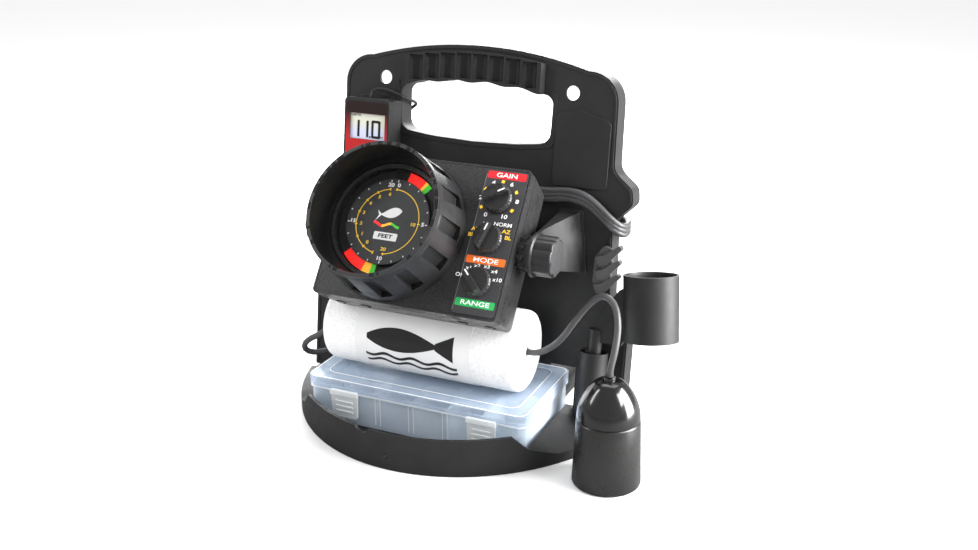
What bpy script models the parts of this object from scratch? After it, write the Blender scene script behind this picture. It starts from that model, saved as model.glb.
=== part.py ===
"""Ice-fishing flasher pack: a leaning case panel with a carry handle on a D-shaped base.

The panel carries a tilting flasher head on two arms, a swivelling rod holder, a line comb,
a digital depth indicator and the wound transducer cable. A foam float lies on a tackle tray
in the base, and the battery stands behind the panel. Lengths below are in millimetres.
World axes: +X is the pack's right side seen from the front, -Y is its front, +Z is up.
"""
import math

import bmesh
import bpy
from mathutils import Matrix, Vector

MM = 0.001
GAP = 0.3
WELD_DISTANCE = 0.00002

# Case panel, in its own leaning frame: x across, y back from the front face, z up the face
PANEL_FOOT_Y = 22.7
PANEL_LEAN = math.degrees(math.atan(0.14))
PANEL_DEPTH = 20.0
SKIN = 3.0
PANEL_BOTTOM = 9.2
PANEL_LOW_HALF = 157.0
WAIST_HALF = 135.5
PANEL_TOP = 327.2
TOP_ARC_RADIUS = 380.0
TOP_ARC_HALF = 104.0
OPENING_HALF = 72.6
OPENING_LOW = 243.5
OPENING_HIGH = 296.0
HANG_HOLE = (90.5, 293.3, 6.25)
GRIP_PITCH = 15.6
GRIP_X = -2.5
GRIP_TOP_GAP = 5.5
GROOVE_R = 7.0
GRIP_SCALLOPS = 8
GRIP_PROUD = 7.0
DIVIDERS = (-68.0, -35.5, -2.7, 30.0, 62.8)
TRAY_WINDOW = (112.0, 53.0)

# Base pan
BASE_A = 163.6
BASE_B = 185.9
BASE_CENTRE_Y = 68.4
FLOOR = 5.7
LIP_TOP = 33.0
WING_INNER_X = 107.2
WING_INNER_Z = 20.0
RIM_Z = 9.0
WALL = 3.0
SHELF_HALF = 88.0
SHELF_BACK = 134.0
PAN_BACK = 47.0

# Battery bay behind the panel
BATTERY_SIZE = (151.0, 65.0, 94.0)
BATTERY_FRONT = 60.0
BAY_WALL = 2.5
BAY_TOP = 72.0
STRAP = (25.0, 1.5)

# Flasher head, in its own frame: origin on the tilt axis, y back from the face, z up the face
TILT_AXIS = (-29.7, 175.2)
HEAD_LEAN = 36.0
FACE_Y = -22.0
HEAD_HALF = 84.5
HEAD_LOW = -66.0
HEAD_HIGH = 63.7
BEZEL_BACK = -12.0
HOUSING_FRONT = -10.6
HOUSING_BACK = 23.0
BACK_PLATE = (68.0, 45.0, 33.0)
SHELL = 2.5
DIAL_X = -22.5
DIAL_Z = -1.1
TURRET_OUT = 50.0
TURRET_IN = 46.8
TURRET_FRONT = -42.5
HOOD_FRONT = -72.0
HOOD_REAR_R = 62.5
HOOD_FRONT_R = 57.0
DIAL_R = 37.4
CONTROL_X = 62.0
CONTROL_Z = {"gain": 35.3, "mode": 0.5, "range": -36.3}
KNOB_R = 12.5
KNOB_GRIP_R = 10.8
KNOB_HEIGHT = 13.0
KNOB_STEP = 7.0
POINTER_CLOCK = {"gain": 60.0, "mode": 15.0, "range": -45.0}
OVERLAY_HALF = 18.7
SOCKET_X = 35.0
SOCKET_Z = 0.0
PLUG_END = 50.0

# Tilt clamp, from the head's side outwards
RATCHET_X = (84.8, 90.5)
ARM_INNER_X = 90.8
ARM_BOSS_X = 95.0
CLAMP_X = (95.3, 115.0)
STUD_R = 3.9
ARM_ROOT_Z = (140.0, 193.0)
ARM_ROOT_X = (88.0, 106.0, 114.0)
ARM_TIP_RADIUS = 14.5
ARM_THICK = 3.2
ARM_STRAIGHT = 21.0
ARM_SCREW_X = 99.0
ARM_SCREW_Z = (152.0, 180.0)

# Rod holder, in its own leaning frame: origin at the top of its socket
ROD_PIVOT = (132.0, 19.6, 76.0)
ROD_LEAN = 12.0
CUP_R = 23.7
CUP_BORE = 21.2
CUP_X = 46.3
CUP_Z = (17.3, 74.0)
CUP_TILT = 6.0
PIN_R = 6.2
SOCKET_R = 12.6

# Float, tray and transducer
FLOAT_AXIS = (-21.0, 83.6)
FLOAT_R = 35.6
FLOAT_X = (-97.0, 87.0)
SLEEVE_X = (-62.0, 48.0)
FLOAT_BORE = 3.8
TRAY_Z = 6.0
TRAY_HALF = 103.0
TRAY_Y = (-68.6, 35.2)
LID_HALF = 105.0
LID_Y = (-70.5, 37.0)
LID_Z = (36.0, 47.1)
TRAY_WALL = 1.6
LATCH_X = 66.0
LATCH_HALF = 13.5
TRANSDUCER = (172.5, -58.6)
TRANSDUCER_R = 28.3
TRANSDUCER_TOP_R = 26.0
DOME_NECK_R = 9.0
SEAM_Z = 57.0
DOME_TOP = 90.0
NIPPLE_TOP = 93.0

# Depth indicator, in the panel's frame
METER_X = (-119.5, -73.0)
METER_Z = (220.5, 274.5)
METER_FRONT = -22.0

# Transducer cable
CABLE_R = 2.75
CABLE_ROUTE = [
    (172.5, -58.6, 93.6), (172.5, -58.5, 100.0), (174.0, -54.5, 112.0), (173.9, -48.0, 125.1),
    (172.2, -43.0, 134.2), (169.1, -38.0, 141.1), (165.1, -34.0, 145.4), (160.2, -31.0, 147.8),
    (154.3, -28.0, 147.7), (146.4, -25.0, 142.6), (138.1, -23.0, 133.4), (128.7, -22.0, 119.5),
    (117.0, -21.3, 101.5), (106.0, -21.0, 90.5), (96.0, -21.0, 84.8), (86.0, -21.0, 83.6),
    (60.0, -21.0, 83.6), (30.0, -21.0, 83.6), (0.0, -21.0, 83.6), (-35.0, -21.0, 83.6),
    (-70.0, -21.0, 83.6), (-97.0, -21.0, 83.6), (-105.0, -21.0, 80.5), (-111.5, -20.7, 73.0),
    (-117.5, -20.5, 66.5), (-126.0, -20.0, 60.8), (-135.0, -19.0, 55.0), (-141.5, -17.0, 48.0),
    (-143.0, -13.5, 41.5), (-140.5, -8.0, 37.0), (-133.0, -1.5, 36.0), (-122.0, 6.0, 40.0),
    (-110.5, 13.0, 50.5), (-98.5, 18.5, 66.0), (-84.0, 22.0, 84.0), (-70.0, 25.5, 102.0),
    (-57.0, 29.5, 122.0), (-48.0, 34.0, 143.0), (-46.0, 39.0, 162.0), (-49.0, 42.5, 176.0),
    (-54.5, 45.2, 187.5), (-55.0, 45.4, 193.2),
]
TAIL_ROUTE = [
    (-5.0, 45.4, 193.4), (-6.0, 45.2, 188.0), (-10.5, 43.6, 178.0), (-17.0, 42.0, 168.0),
    (-23.0, 40.6, 158.5), (-28.5, 37.4, 149.0), (-32.5, 31.8, 141.6), (-34.6, 24.6, 138.6),
    (-35.0, 17.4, 141.0), (-35.0, 11.1, 145.5),
]
WINDING_HALF_ROUTE = [
    (0.0, 45.4, 203.0), (40.0, 45.4, 202.5), (75.0, 45.4, 203.0), (92.0, 45.0, 205.0),
    (104.0, 44.0, 205.0), (114.0, 43.2, 202.2), (125.0, 42.8, 194.6), (134.0, 42.4, 187.2),
    (141.4, 45.2, 180.6), (144.6, 51.5, 178.0), (144.8, 60.0, 177.0), (142.0, 70.0, 176.8),
    (134.0, 74.8, 177.0),
    (118.0, 75.0, 177.4), (80.0, 75.0, 177.4), (40.0, 75.0, 177.4), (0.0, 75.0, 177.4),
]
WINDING_HALF_HEIGHT = 8.4
WINDING_HALF_THICK = 3.1

# Depth indicator's lead, in the panel's frame
LEAD_R = 1.5
LEAD_ROUTE = [
    (-101.0, -10.0, 275.0), (-100.6, -9.6, 278.6), (-97.4, -8.2, 281.6), (-91.5, -6.2, 282.6),
    (-84.0, -4.6, 281.6), (-76.5, -3.6, 279.4), (-70.6, -2.4, 277.0), (-67.6, 3.4, 274.8),
    (-67.4, 10.0, 273.0),
    (-68.4, 18.0, 271.0), (-71.5, 24.5, 268.5), (-78.0, 25.0, 263.5), (-83.5, 20.5, 256.0),
    (-87.0, 14.0, 246.0), (-88.0, 12.0, 232.0),
]
LEAD_PLUG = (-88.0, 12.0, 231.5)


def clear_scene():
    for thing in list(bpy.data.objects):
        bpy.data.objects.remove(thing, do_unlink=True)


def finish_material(name, colour, roughness, metallic=0.0, alpha=1.0):
    made = bpy.data.materials.new(name)
    made.use_nodes = True
    shader = made.node_tree.nodes["Principled BSDF"]
    shader.inputs["Base Color"].default_value = (*colour, 1.0)
    shader.inputs["Roughness"].default_value = roughness
    shader.inputs["Metallic"].default_value = metallic
    shader.inputs["Alpha"].default_value = alpha
    return made


def empty(name, location, lean=0.0):
    made = bpy.data.objects.new(name, None)
    bpy.context.scene.collection.objects.link(made)
    made.location = [value * MM for value in location]
    made.rotation_euler = (math.radians(-lean), 0.0, 0.0)
    return made


def add(name, shape, material=None, parent=None, smooth=None):
    """Make an object from a shape in millimetres, in its parent's frame."""
    bmesh.ops.recalc_face_normals(shape, faces=shape.faces)
    if shape.calc_volume(signed=True) < 0:
        bmesh.ops.reverse_faces(shape, faces=shape.faces)
    bmesh.ops.scale(shape, vec=(MM, MM, MM), verts=shape.verts)
    mesh = bpy.data.meshes.new(name)
    shape.to_mesh(mesh)
    shape.free()
    if smooth:
        mesh.shade_smooth()
        mesh.set_sharp_from_angle(angle=math.radians(smooth))
    made = bpy.data.objects.new(name, mesh)
    bpy.context.scene.collection.objects.link(made)
    made.parent = parent
    if material:
        made.data.materials.append(material)
    return made


def tool(shape, parent=None):
    """A hidden shape that a Boolean reads."""
    made = add("tool", shape, parent=parent)
    made.hide_render = True
    made.display_type = "WIRE"
    return made


def boolean(target, shape, operation, parent=None):
    made = tool(shape, parent or target.parent)
    modifier = target.modifiers.new(operation.lower(), "BOOLEAN")
    modifier.operation = operation
    modifier.solver = "EXACT"
    modifier.object = made
    return made


def cut(target, shape, parent=None):
    return boolean(target, shape, "DIFFERENCE", parent)


def fuse(target, shape, parent=None):
    return boolean(target, shape, "UNION", parent)


def rounded(corners, steps=4):
    """Turn (x, z, radius) corners into an outline whose corners are arcs."""
    outline = []
    for i, (x, z, radius) in enumerate(corners):
        here = Vector((x, z))
        before = (Vector(corners[i - 1][:2]) - here).normalized()
        after = (Vector(corners[(i + 1) % len(corners)][:2]) - here).normalized()
        half = before.angle(after) / 2
        if radius <= 0 or half > math.radians(89):
            outline.append((x, z))
            continue
        reach = radius / math.tan(half)
        centre = here + (before + after).normalized() * (radius / math.sin(half))
        start = here + before * reach - centre
        turn = start.angle_signed(here + after * reach - centre)
        for k in range(steps + 1):
            point = centre + Matrix.Rotation(-turn * k / steps, 2) @ start
            outline.append((point.x, point.y))
    return outline


def inset(corners, distance):
    """Move the sides of an anticlockwise (x, z, radius) outline inwards by a distance."""
    moved = []
    for i, (x, z, radius) in enumerate(corners):
        here = Vector((x, z))
        before = (here - Vector(corners[i - 1][:2])).normalized()
        after = (Vector(corners[(i + 1) % len(corners)][:2]) - here).normalized()
        inward = Vector((-before.y - after.y, before.x + after.x))
        here += inward * distance / (1 + before.dot(after))
        bend = before.x * after.y - before.y * after.x
        if radius > 0:
            radius = max(0.2, radius - math.copysign(distance, bend))
        moved.append((here.x, here.y, radius))
    return moved


def prism(outline, y0, y1):
    """Extrude an (x, z) outline from y0 to y1."""
    shape = bmesh.new()
    face = shape.faces.new([shape.verts.new((x, y0, z)) for x, z in outline])
    made = bmesh.ops.extrude_face_region(shape, geom=[face])["geom"]
    moved = [part for part in made if isinstance(part, bmesh.types.BMVert)]
    bmesh.ops.translate(shape, vec=(0, y1 - y0, 0), verts=moved)
    return shape


def slab(outline, z0, z1):
    """Extrude an (x, y) outline from z0 to z1."""
    shape = prism(outline, -z1, -z0)
    bmesh.ops.transform(shape, matrix=Matrix.Rotation(-math.pi / 2, 4, "X"), verts=shape.verts)
    return shape


def block(x0, x1, y0, y1, z0, z1):
    shape = bmesh.new()
    bmesh.ops.create_cube(shape, size=1.0)
    bmesh.ops.scale(shape, vec=(x1 - x0, y1 - y0, z1 - z0), verts=shape.verts)
    middle = ((x0 + x1) / 2, (y0 + y1) / 2, (z0 + z1) / 2)
    bmesh.ops.translate(shape, vec=middle, verts=shape.verts)
    return shape


def lathe(profile, segments, axis="Z", centre=(0, 0, 0)):
    """Turn a closed (radius, height) profile about an axis through centre."""
    shape = bmesh.new()
    rings = []
    for radius, height in profile:
        if radius < 1e-6:
            rings.append([shape.verts.new((0, 0, height))])
            continue
        ring = []
        for k in range(segments):
            angle = 2 * math.pi * k / segments
            at = (radius * math.cos(angle), radius * math.sin(angle), height)
            ring.append(shape.verts.new(at))
        rings.append(ring)
    for i, ring in enumerate(rings):
        following = rings[(i + 1) % len(rings)]
        for k in range(segments):
            nxt = (k + 1) % segments
            corners = [ring[k % len(ring)], ring[nxt % len(ring)]]
            corners += [following[nxt % len(following)], following[k % len(following)]]
            corners = list(dict.fromkeys(corners))
            if len(corners) > 2:
                shape.faces.new(corners)
    turns = {"X": Matrix.Rotation(math.pi / 2, 4, "Y"), "Z": Matrix.Identity(4)}
    turns["Y"] = Matrix.Rotation(-math.pi / 2, 4, "X")
    bmesh.ops.transform(shape, matrix=turns[axis], verts=shape.verts)
    bmesh.ops.translate(shape, vec=centre, verts=shape.verts)
    return shape


def cylinder(radius, low, high, segments, axis="Z", centre=(0, 0, 0)):
    return lathe([(0, low), (radius, low), (radius, high), (0, high)], segments, axis, centre)


def tube(outer, inner, low, high, segments, axis="Z", centre=(0, 0, 0)):
    profile = [(inner, low), (outer, low), (outer, high), (inner, high)]
    return lathe(profile, segments, axis, centre)


def box_corners(half_x, low_z, high_z, radius, middle_x=0.0):
    corners = [(middle_x + half_x, low_z, radius), (middle_x + half_x, high_z, radius)]
    corners += [(middle_x - half_x, high_z, radius), (middle_x - half_x, low_z, radius)]
    return corners


def loft(sections):
    """Skin equal-length outlines, each an (outline, y) pair, into one closed solid."""
    shape = bmesh.new()
    rings = [[shape.verts.new((x, y, z)) for x, z in outline] for outline, y in sections]
    for ring, following in zip(rings, rings[1:]):
        count = len(ring)
        for k in range(count):
            nxt = (k + 1) % count
            shape.faces.new((ring[k], ring[nxt], following[nxt], following[k]))
    shape.faces.new(rings[0])
    shape.faces.new(rings[-1])
    return shape


def smooth_route(points, spacing, closed=False):
    """Read evenly spaced points from a Catmull-Rom curve through the route's points."""
    points = [Vector(p) for p in points]
    count = len(points) if closed else len(points) - 1
    fine = []
    for i in range(count):
        if closed:
            a, b, c, d = (points[(i + k) % len(points)] for k in (-1, 0, 1, 2))
        else:
            a, b = points[max(i - 1, 0)], points[i]
            c, d = points[i + 1], points[min(i + 2, count)]
        for k in range(16):
            t = k / 16
            fine.append(0.5 * (2 * b + (c - a) * t + (2 * a - 5 * b + 4 * c - d) * t * t
                               + (3 * b - a - 3 * c + d) * t ** 3))
    fine.append(points[0] if closed else points[-1])
    total = sum((q - p).length for p, q in zip(fine, fine[1:]))
    step = total / max(1, round(total / spacing))
    chosen, run, want = [fine[0]], 0.0, step
    for p, q in zip(fine, fine[1:]):
        length = (q - p).length
        while run + length >= want - 1e-6:
            chosen.append(p.lerp(q, min(1.0, (want - run) / length)))
            want += step
        run += length
    return chosen[:-1] if closed else chosen


def cord_tube(name, route, radius, spacing, material, parent=None):
    curve = bpy.data.curves.new(name, "CURVE")
    curve.dimensions = "3D"
    curve.bevel_depth = radius * MM
    curve.bevel_resolution = 2
    curve.render_resolution_u = 0
    curve.use_fill_caps = True
    line = curve.splines.new("POLY")
    points = smooth_route(route, spacing)
    line.points.add(len(points) - 1)
    for target, point in zip(line.points, points):
        target.co = (*(point * MM), 1.0)
    made = bpy.data.objects.new(name, curve)
    bpy.context.scene.collection.objects.link(made)
    made.parent = parent
    curve.materials.append(material)
    return made


def top_edge(x):
    """Height of the panel's arched top edge."""
    return PANEL_TOP - TOP_ARC_RADIUS + math.sqrt(TOP_ARC_RADIUS ** 2 - x ** 2)


def panel_corners():
    right = [(PANEL_LOW_HALF, PANEL_BOTTOM, 2), (PANEL_LOW_HALF, 101, 16), (138, 119, 12)]
    right += [(WAIST_HALF, 187, 5), (152, 203.5, 8), (150.5, 216.5, 8), (133, 231, 14)]
    right += [(131.5, 311.5, 26)]
    left = [(-131.5, 311.5, 26), (-131, 224, 12), (-140, 206, 8), (1 - WAIST_HALF, 187, 5)]
    left += [(-138, 119, 12), (-PANEL_LOW_HALF, 101, 16), (-PANEL_LOW_HALF, PANEL_BOTTOM, 2)]
    arc = []
    for k in range(9):
        x = TOP_ARC_HALF * (1 - k / 4)
        arc.append((x, top_edge(x), 0))
    return right + arc + left


def opening_top(x):
    return OPENING_HIGH - PANEL_TOP + top_edge(x)


def opening_corners():
    right = [(40, OPENING_LOW + 1.3, 0), (OPENING_HALF, 248.3, 11)]
    right += [(OPENING_HALF + 0.9, opening_top(OPENING_HALF), 9), (40, opening_top(40), 0)]
    left = [(-x, z, r) for x, z, r in reversed(right)]
    return [(0, OPENING_LOW, 0)] + right + [(0, opening_top(0), 0)] + left


def grip_outline(half):
    low = OPENING_LOW + 30
    outline = [(GRIP_X + half, low)]
    for k in range(5):
        x = GRIP_X + half * (1 - k / 2)
        outline.append((x, top_edge(x) - GRIP_TOP_GAP))
    return outline + [(GRIP_X - half, low)]


def make_case_panel(frame, plastic):
    panel = add("case_panel", prism(rounded(panel_corners()), 0, PANEL_DEPTH), plastic, frame)
    cut(panel, prism(rounded(inset(panel_corners(), SKIN)), SKIN, PANEL_DEPTH + 1))
    opening = opening_corners()
    fuse(panel, prism(rounded(inset(opening, -SKIN)), SKIN - 1, PANEL_DEPTH - 0.5))
    x, z, radius = HANG_HOLE
    for side in (-1, 1):
        cut(panel, cylinder(radius, -2, SKIN + 2, 20, "Y", (side * x, 0, z)))
    half = GRIP_PITCH * GRIP_SCALLOPS / 2 + 3
    fuse(panel, loft([(grip_outline(half + 6), SKIN - 1), (grip_outline(half), -GRIP_PROUD)]))
    for k in range(GRIP_SCALLOPS):
        x = GRIP_X + (k - (GRIP_SCALLOPS - 1) / 2) * GRIP_PITCH
        low = opening_top(x) + 2.4
        high = top_edge(x) - GRIP_TOP_GAP - 1.5
        groove = cylinder(GROOVE_R, low, high, 12, "Z", (x, -GRIP_PROUD - 1, 0))
        cut(panel, groove)
    cut(panel, prism(rounded(opening), -GRIP_PROUD - 2, PANEL_DEPTH + 2))
    half, high = TRAY_WINDOW
    cut(panel, block(-half, half, -2, PANEL_DEPTH + 2, 0, high))
    for side in (-1, 1):
        for z in ARM_SCREW_Z:
            cut(panel, cylinder(2.3, -2, SKIN + 2, 12, "Y", (side * ARM_SCREW_X, 0, z)))
    cut(panel, cylinder(2.4, -2, 30, 12, "Z", (-135.0, PANEL_FOOT_Y + 14.0, 0)), SCENE_ROOT)
    cut(panel, cylinder(2.4, -2, 30, 12, "Z", (135.0, PANEL_FOOT_Y + 14.0, 0)), SCENE_ROOT)
    return panel


def base_x(y):
    return BASE_A * math.sqrt(max(0.0, 1 - ((y - BASE_CENTRE_Y) / BASE_B) ** 2))


def rim_path():
    """Points on the pan's front rim from its right end round to its left end."""
    start = math.acos(PANEL_LOW_HALF / BASE_A)
    path = []
    for k in range(41):
        angle = -start - (math.pi - 2 * start) * k / 40
        path.append((BASE_A * math.cos(angle), BASE_CENTRE_Y + BASE_B * math.sin(angle)))
    return path


def rim_height(x):
    x = abs(x)
    for x0, z0, x1, z1 in ((0, LIP_TOP, 98, LIP_TOP), (98, LIP_TOP, 108, WING_INNER_Z),
                           (108, WING_INNER_Z, 127, RIM_Z)):
        if x <= x1:
            return z0 + (z1 - z0) * (x - x0) / (x1 - x0)
    return RIM_Z


def make_rim():
    """The lip along the front and the sloping wings beside the tray, as one swept solid."""
    shape = bmesh.new()
    rings = []
    for x, y in rim_path():
        side = 1 if x > 0 else -1
        inner_x, inner_y = x * (1 - WALL / BASE_A), y + WALL * (BASE_CENTRE_Y - y) / BASE_B
        inner_z = rim_height(x)
        if abs(inner_x) > WING_INNER_X:
            inner_x, inner_z = side * WING_INNER_X, WING_INNER_Z
        low = FLOOR - 2
        ring = [(x, y, low), (x, y, rim_height(x)), (inner_x, inner_y, inner_z)]
        ring.append((inner_x, inner_y, low))
        rings.append([shape.verts.new(point) for point in ring])
    for ring, following in zip(rings, rings[1:]):
        for k in range(4):
            nxt = (k + 1) % 4
            shape.faces.new((ring[k], ring[nxt], following[nxt], following[k]))
    shape.faces.new(rings[0])
    shape.faces.new(rings[-1])
    bmesh.ops.triangulate(shape, faces=[f for f in shape.faces if len(f.verts) > 3])
    return shape


def make_base_pan(plastic):
    outline = rim_path()[::-1]
    outline += [(PANEL_LOW_HALF, PAN_BACK), (SHELF_HALF, PAN_BACK), (SHELF_HALF, SHELF_BACK)]
    outline += [(-SHELF_HALF, SHELF_BACK), (-SHELF_HALF, PAN_BACK), (-PANEL_LOW_HALF, PAN_BACK)]
    pan = add("base_pan", slab(outline, 0, FLOOR), plastic)
    fuse(pan, make_rim())
    front = BASE_CENTRE_Y - BASE_B
    cut(pan, cylinder(2.6, front - 5, front + 10, 12, "Y", (0, 0, 12)))
    cut(pan, cylinder(7.5, front - 8, front + 18, 16, "Y", (-24, 0, LIP_TOP + 3)))
    for side in (-1, 1):
        at = (side * 135.0, PANEL_FOOT_Y + 14.0, 0)
        cut(pan, lathe([(0, -1), (4.6, -1), (4.6, 1.2), (2.4, 3.4), (2.4, 9), (0, 9)], 12, "Z", at))
    return pan


def make_case_screws(metal):
    for name, side in (("case_screw_right", 1), ("case_screw_left", -1)):
        at = (side * 135.0, PANEL_FOOT_Y + 14.0, 0)
        profile = [(0, 0.4), (4.2, 0.4), (4.2, 1.2), (2.0, 3.2), (2.0, 15), (0, 16.5)]
        add(name, lathe(profile, 12, "Z", at), metal)


def make_battery_bay(plastic, battery_mat, webbing):
    width, depth, height = BATTERY_SIZE
    half = width / 2 + 0.6 + BAY_WALL
    front, back = BATTERY_FRONT - 2.2 - BAY_WALL, BATTERY_FRONT + depth + 2.2 + BAY_WALL
    low = FLOOR + GAP
    bay = add("battery_box", block(-half, half, front, back, low, BAY_TOP), plastic)
    cut(bay, block(-half + BAY_WALL, half - BAY_WALL, front + BAY_WALL, back - BAY_WALL,
                   low + BAY_WALL, BAY_TOP + 5))
    base = low + BAY_WALL + GAP
    top = base + height
    body = add("battery", block(-width / 2, width / 2, BATTERY_FRONT, BATTERY_FRONT + depth,
                                base, top), battery_mat)
    for x in (-width / 2 + 18, width / 2 - 18):
        fuse(body, block(x - 6, x + 6, BATTERY_FRONT + 8, BATTERY_FRONT + 18, top - 2, top + 3))
    half_band, thick = STRAP[0] / 2, STRAP[1]
    y0, y1 = BATTERY_FRONT - GAP, BATTERY_FRONT + depth + GAP
    band = bmesh.new()
    outer = [(y0 - thick, 40), (y0 - thick, top + GAP + thick), (y1 + thick, top + GAP + thick)]
    outer += [(y1 + thick, 40), (y1, 40), (y1, top + GAP), (y0, top + GAP), (y0, 40)]
    face = band.faces.new([band.verts.new((-half_band, y, z)) for y, z in outer])
    made = bmesh.ops.extrude_face_region(band, geom=[face])["geom"]
    bmesh.ops.translate(band, vec=(STRAP[0], 0, 0),
                        verts=[p for p in made if isinstance(p, bmesh.types.BMVert)])
    add("battery_strap", band, webbing)


def panel_point(y, z):
    """World (y, z) to the panel's own (y, z)."""
    lean = math.radians(PANEL_LEAN)
    dy = y - PANEL_FOOT_Y
    return dy * math.cos(lean) - z * math.sin(lean), dy * math.sin(lean) + z * math.cos(lean)


def make_yoke_arm(name, side, frame, plastic):
    """A tapered arm from the panel to a round boss on the head's tilt axis."""
    tip_y, tip_z = panel_point(*TILT_AXIS)
    low, high = ARM_ROOT_Z
    inner, outer_top, outer_low = ARM_ROOT_X
    radius = ARM_TIP_RADIUS - 0.4
    thin = ARM_INNER_X + ARM_THICK
    share = ARM_STRAIGHT / -tip_y
    tip_low, tip_high = tip_z - radius, tip_z + radius
    knee_low, knee_high = tip_low + (low - tip_low) * share, tip_high + (high - tip_high) * share
    tip = [(ARM_INNER_X, tip_low), (thin, tip_low), (thin, tip_high), (ARM_INNER_X, tip_high)]
    knee = [(ARM_INNER_X, knee_low), (thin, knee_low), (thin, knee_high),
            (ARM_INNER_X, knee_high)]
    root = [(inner, low), (outer_low, low), (outer_top, high), (inner, high)]
    sections = []
    for outline, y in ((tip, tip_y), (knee, tip_y + ARM_STRAIGHT), (root, -GAP)):
        sections.append(([(side * x, z) for x, z in outline], y))
    arm = add(name, loft(sections), plastic, frame)
    centre = (0, tip_y, tip_z)
    x0, x1 = sorted((side * ARM_INNER_X, side * ARM_BOSS_X))
    fuse(arm, cylinder(ARM_TIP_RADIUS, x0, x1, 24, "X", centre))
    x0, x1 = sorted((side * (ARM_INNER_X - 4), side * (ARM_BOSS_X + 4)))
    cut(arm, cylinder(STUD_R + 0.4, x0, x1, 16, "X", centre))
    for z in ARM_SCREW_Z:
        cut(arm, cylinder(1.9, -14, 2, 12, "Y", (side * ARM_SCREW_X, 0, z)))
    return arm


def make_arm_screws(frame, metal):
    for label, side in (("right", 1), ("left", -1)):
        for k, z in enumerate(ARM_SCREW_Z):
            at = (side * ARM_SCREW_X, 0, z)
            profile = [(0, -12), (1.6, -11), (1.6, SKIN + GAP), (4, SKIN + GAP)]
            profile += [(4, SKIN + 2.6), (0, SKIN + 2.6)]
            add(f"arm_screw_{label}_{k + 1}", lathe(profile, 12, "Y", at), metal, frame)


def make_rod_holder(frame, plastic):
    socket = add("rod_socket", tube(SOCKET_R, PIN_R + 0.35, -57, 0, 24), plastic, frame)
    holder = add("rod_holder", cylinder(PIN_R, -40, 20, 20), plastic, frame)
    low, high = CUP_Z
    web = [(-6, 9), (24, 9), (26, 14), (26, 58.5), (19, 58.5), (11, 47), (-2, 20), (-6, 14)]
    fuse(holder, prism(web, -2.6, 2.6))
    lean = Matrix.Translation((CUP_X, 0, (low + high) / 2))
    lean @= Matrix.Rotation(math.radians(-CUP_TILT), 4, "Y")
    half = (high - low) / 2
    body = cylinder(CUP_R, -half, half, 32)
    bmesh.ops.transform(body, matrix=lean, verts=body.verts)
    fuse(holder, body)
    bore = cylinder(CUP_BORE, -half + 3.5, half + 5, 32)
    bmesh.ops.transform(bore, matrix=lean, verts=bore.verts)
    cut(holder, bore)
    drain = cylinder(6, -half - 5, half, 16)
    bmesh.ops.transform(drain, matrix=lean, verts=drain.verts)
    cut(holder, drain)
    return socket, holder


def make_line_comb(frame, plastic):
    comb = add("line_comb", block(124, 138, -6.3, -GAP, 129, 164), plastic, frame)
    for k in range(3):
        z = 131.0 + 12.4 * k
        fin = [(122, z - 8), (127, z - 8), (148.2, z + 11.5), (145, z + 14.5), (122, z - 2)]
        fuse(comb, prism(fin, -8.6, -1.2))
    return comb


def make_head_bezel(frame, plastic, rubber):
    corners = box_corners(HEAD_HALF, HEAD_LOW, HEAD_HIGH, 4)
    bezel = add("head_bezel", prism(rounded(corners), FACE_Y, BEZEL_BACK), plastic, frame)
    inner = rounded(inset(corners, SHELL))
    cut(bezel, prism(inner, FACE_Y + SKIN, BEZEL_BACK + 2))
    at = (DIAL_X, 0, DIAL_Z)
    fuse(bezel, cylinder(TURRET_OUT, TURRET_FRONT, FACE_Y + 2, 48, "Y", at))
    cut(bezel, cylinder(TURRET_IN, TURRET_FRONT - 2, FACE_Y + 6, 48, "Y", at))
    for z in CONTROL_Z.values():
        cut(bezel, cylinder(4.0, FACE_Y - 3, FACE_Y + 6, 12, "Y", (CONTROL_X, 0, z)))
    for x in (-58, 58):
        recess = (BEZEL_BACK - 6, BEZEL_BACK + 2, HEAD_LOW - 2, HEAD_LOW + 1.6)
        cut(bezel, block(x - 13, x + 13, *recess))
    ring = prism(rounded(corners), BEZEL_BACK + GAP, HOUSING_FRONT - GAP)
    gasket = add("head_gasket", ring, rubber, frame)
    cut(gasket, prism(inner, BEZEL_BACK - 2, HOUSING_FRONT + 2))


def make_head_housing(frame, plastic):
    front = box_corners(HEAD_HALF, HEAD_LOW, HEAD_HIGH, 4)
    rear = box_corners(HEAD_HALF - 2.5, HEAD_LOW + 3, HEAD_HIGH - 3, 4)
    shell = loft([(rounded(front), HOUSING_FRONT), (rounded(rear), HOUSING_BACK)])
    housing = add("head_housing", shell, plastic, frame)
    half_x, half_z, back = BACK_PLATE
    plate = box_corners(half_x, -half_z, half_z, 6)
    fuse(housing, prism(rounded(plate), HOUSING_BACK - 2, back))
    cut(housing, loft([(rounded(inset(front, SHELL)), HOUSING_FRONT - 2),
                       (rounded(inset(rear, SHELL)), HOUSING_BACK - SHELL)]))
    cut(housing, prism(rounded(inset(plate, SHELL)), HOUSING_BACK - 6, back - SHELL))
    for side in (-1, 1):
        x0, x1 = sorted((side * 72.0, side * (HEAD_HALF - 2.4)))
        fuse(housing, cylinder(9, x0, x1, 20, "X"))
        x0, x1 = sorted((side * 70.0, side * (HEAD_HALF + 5)))
        cut(housing, cylinder(STUD_R + 0.4, x0, x1, 16, "X"))
    for x in (-SOCKET_X, SOCKET_X):
        cut(housing, cylinder(7.3, HOUSING_BACK - 8, back + 4, 20, "Y", (x, 0, SOCKET_Z)))


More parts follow.
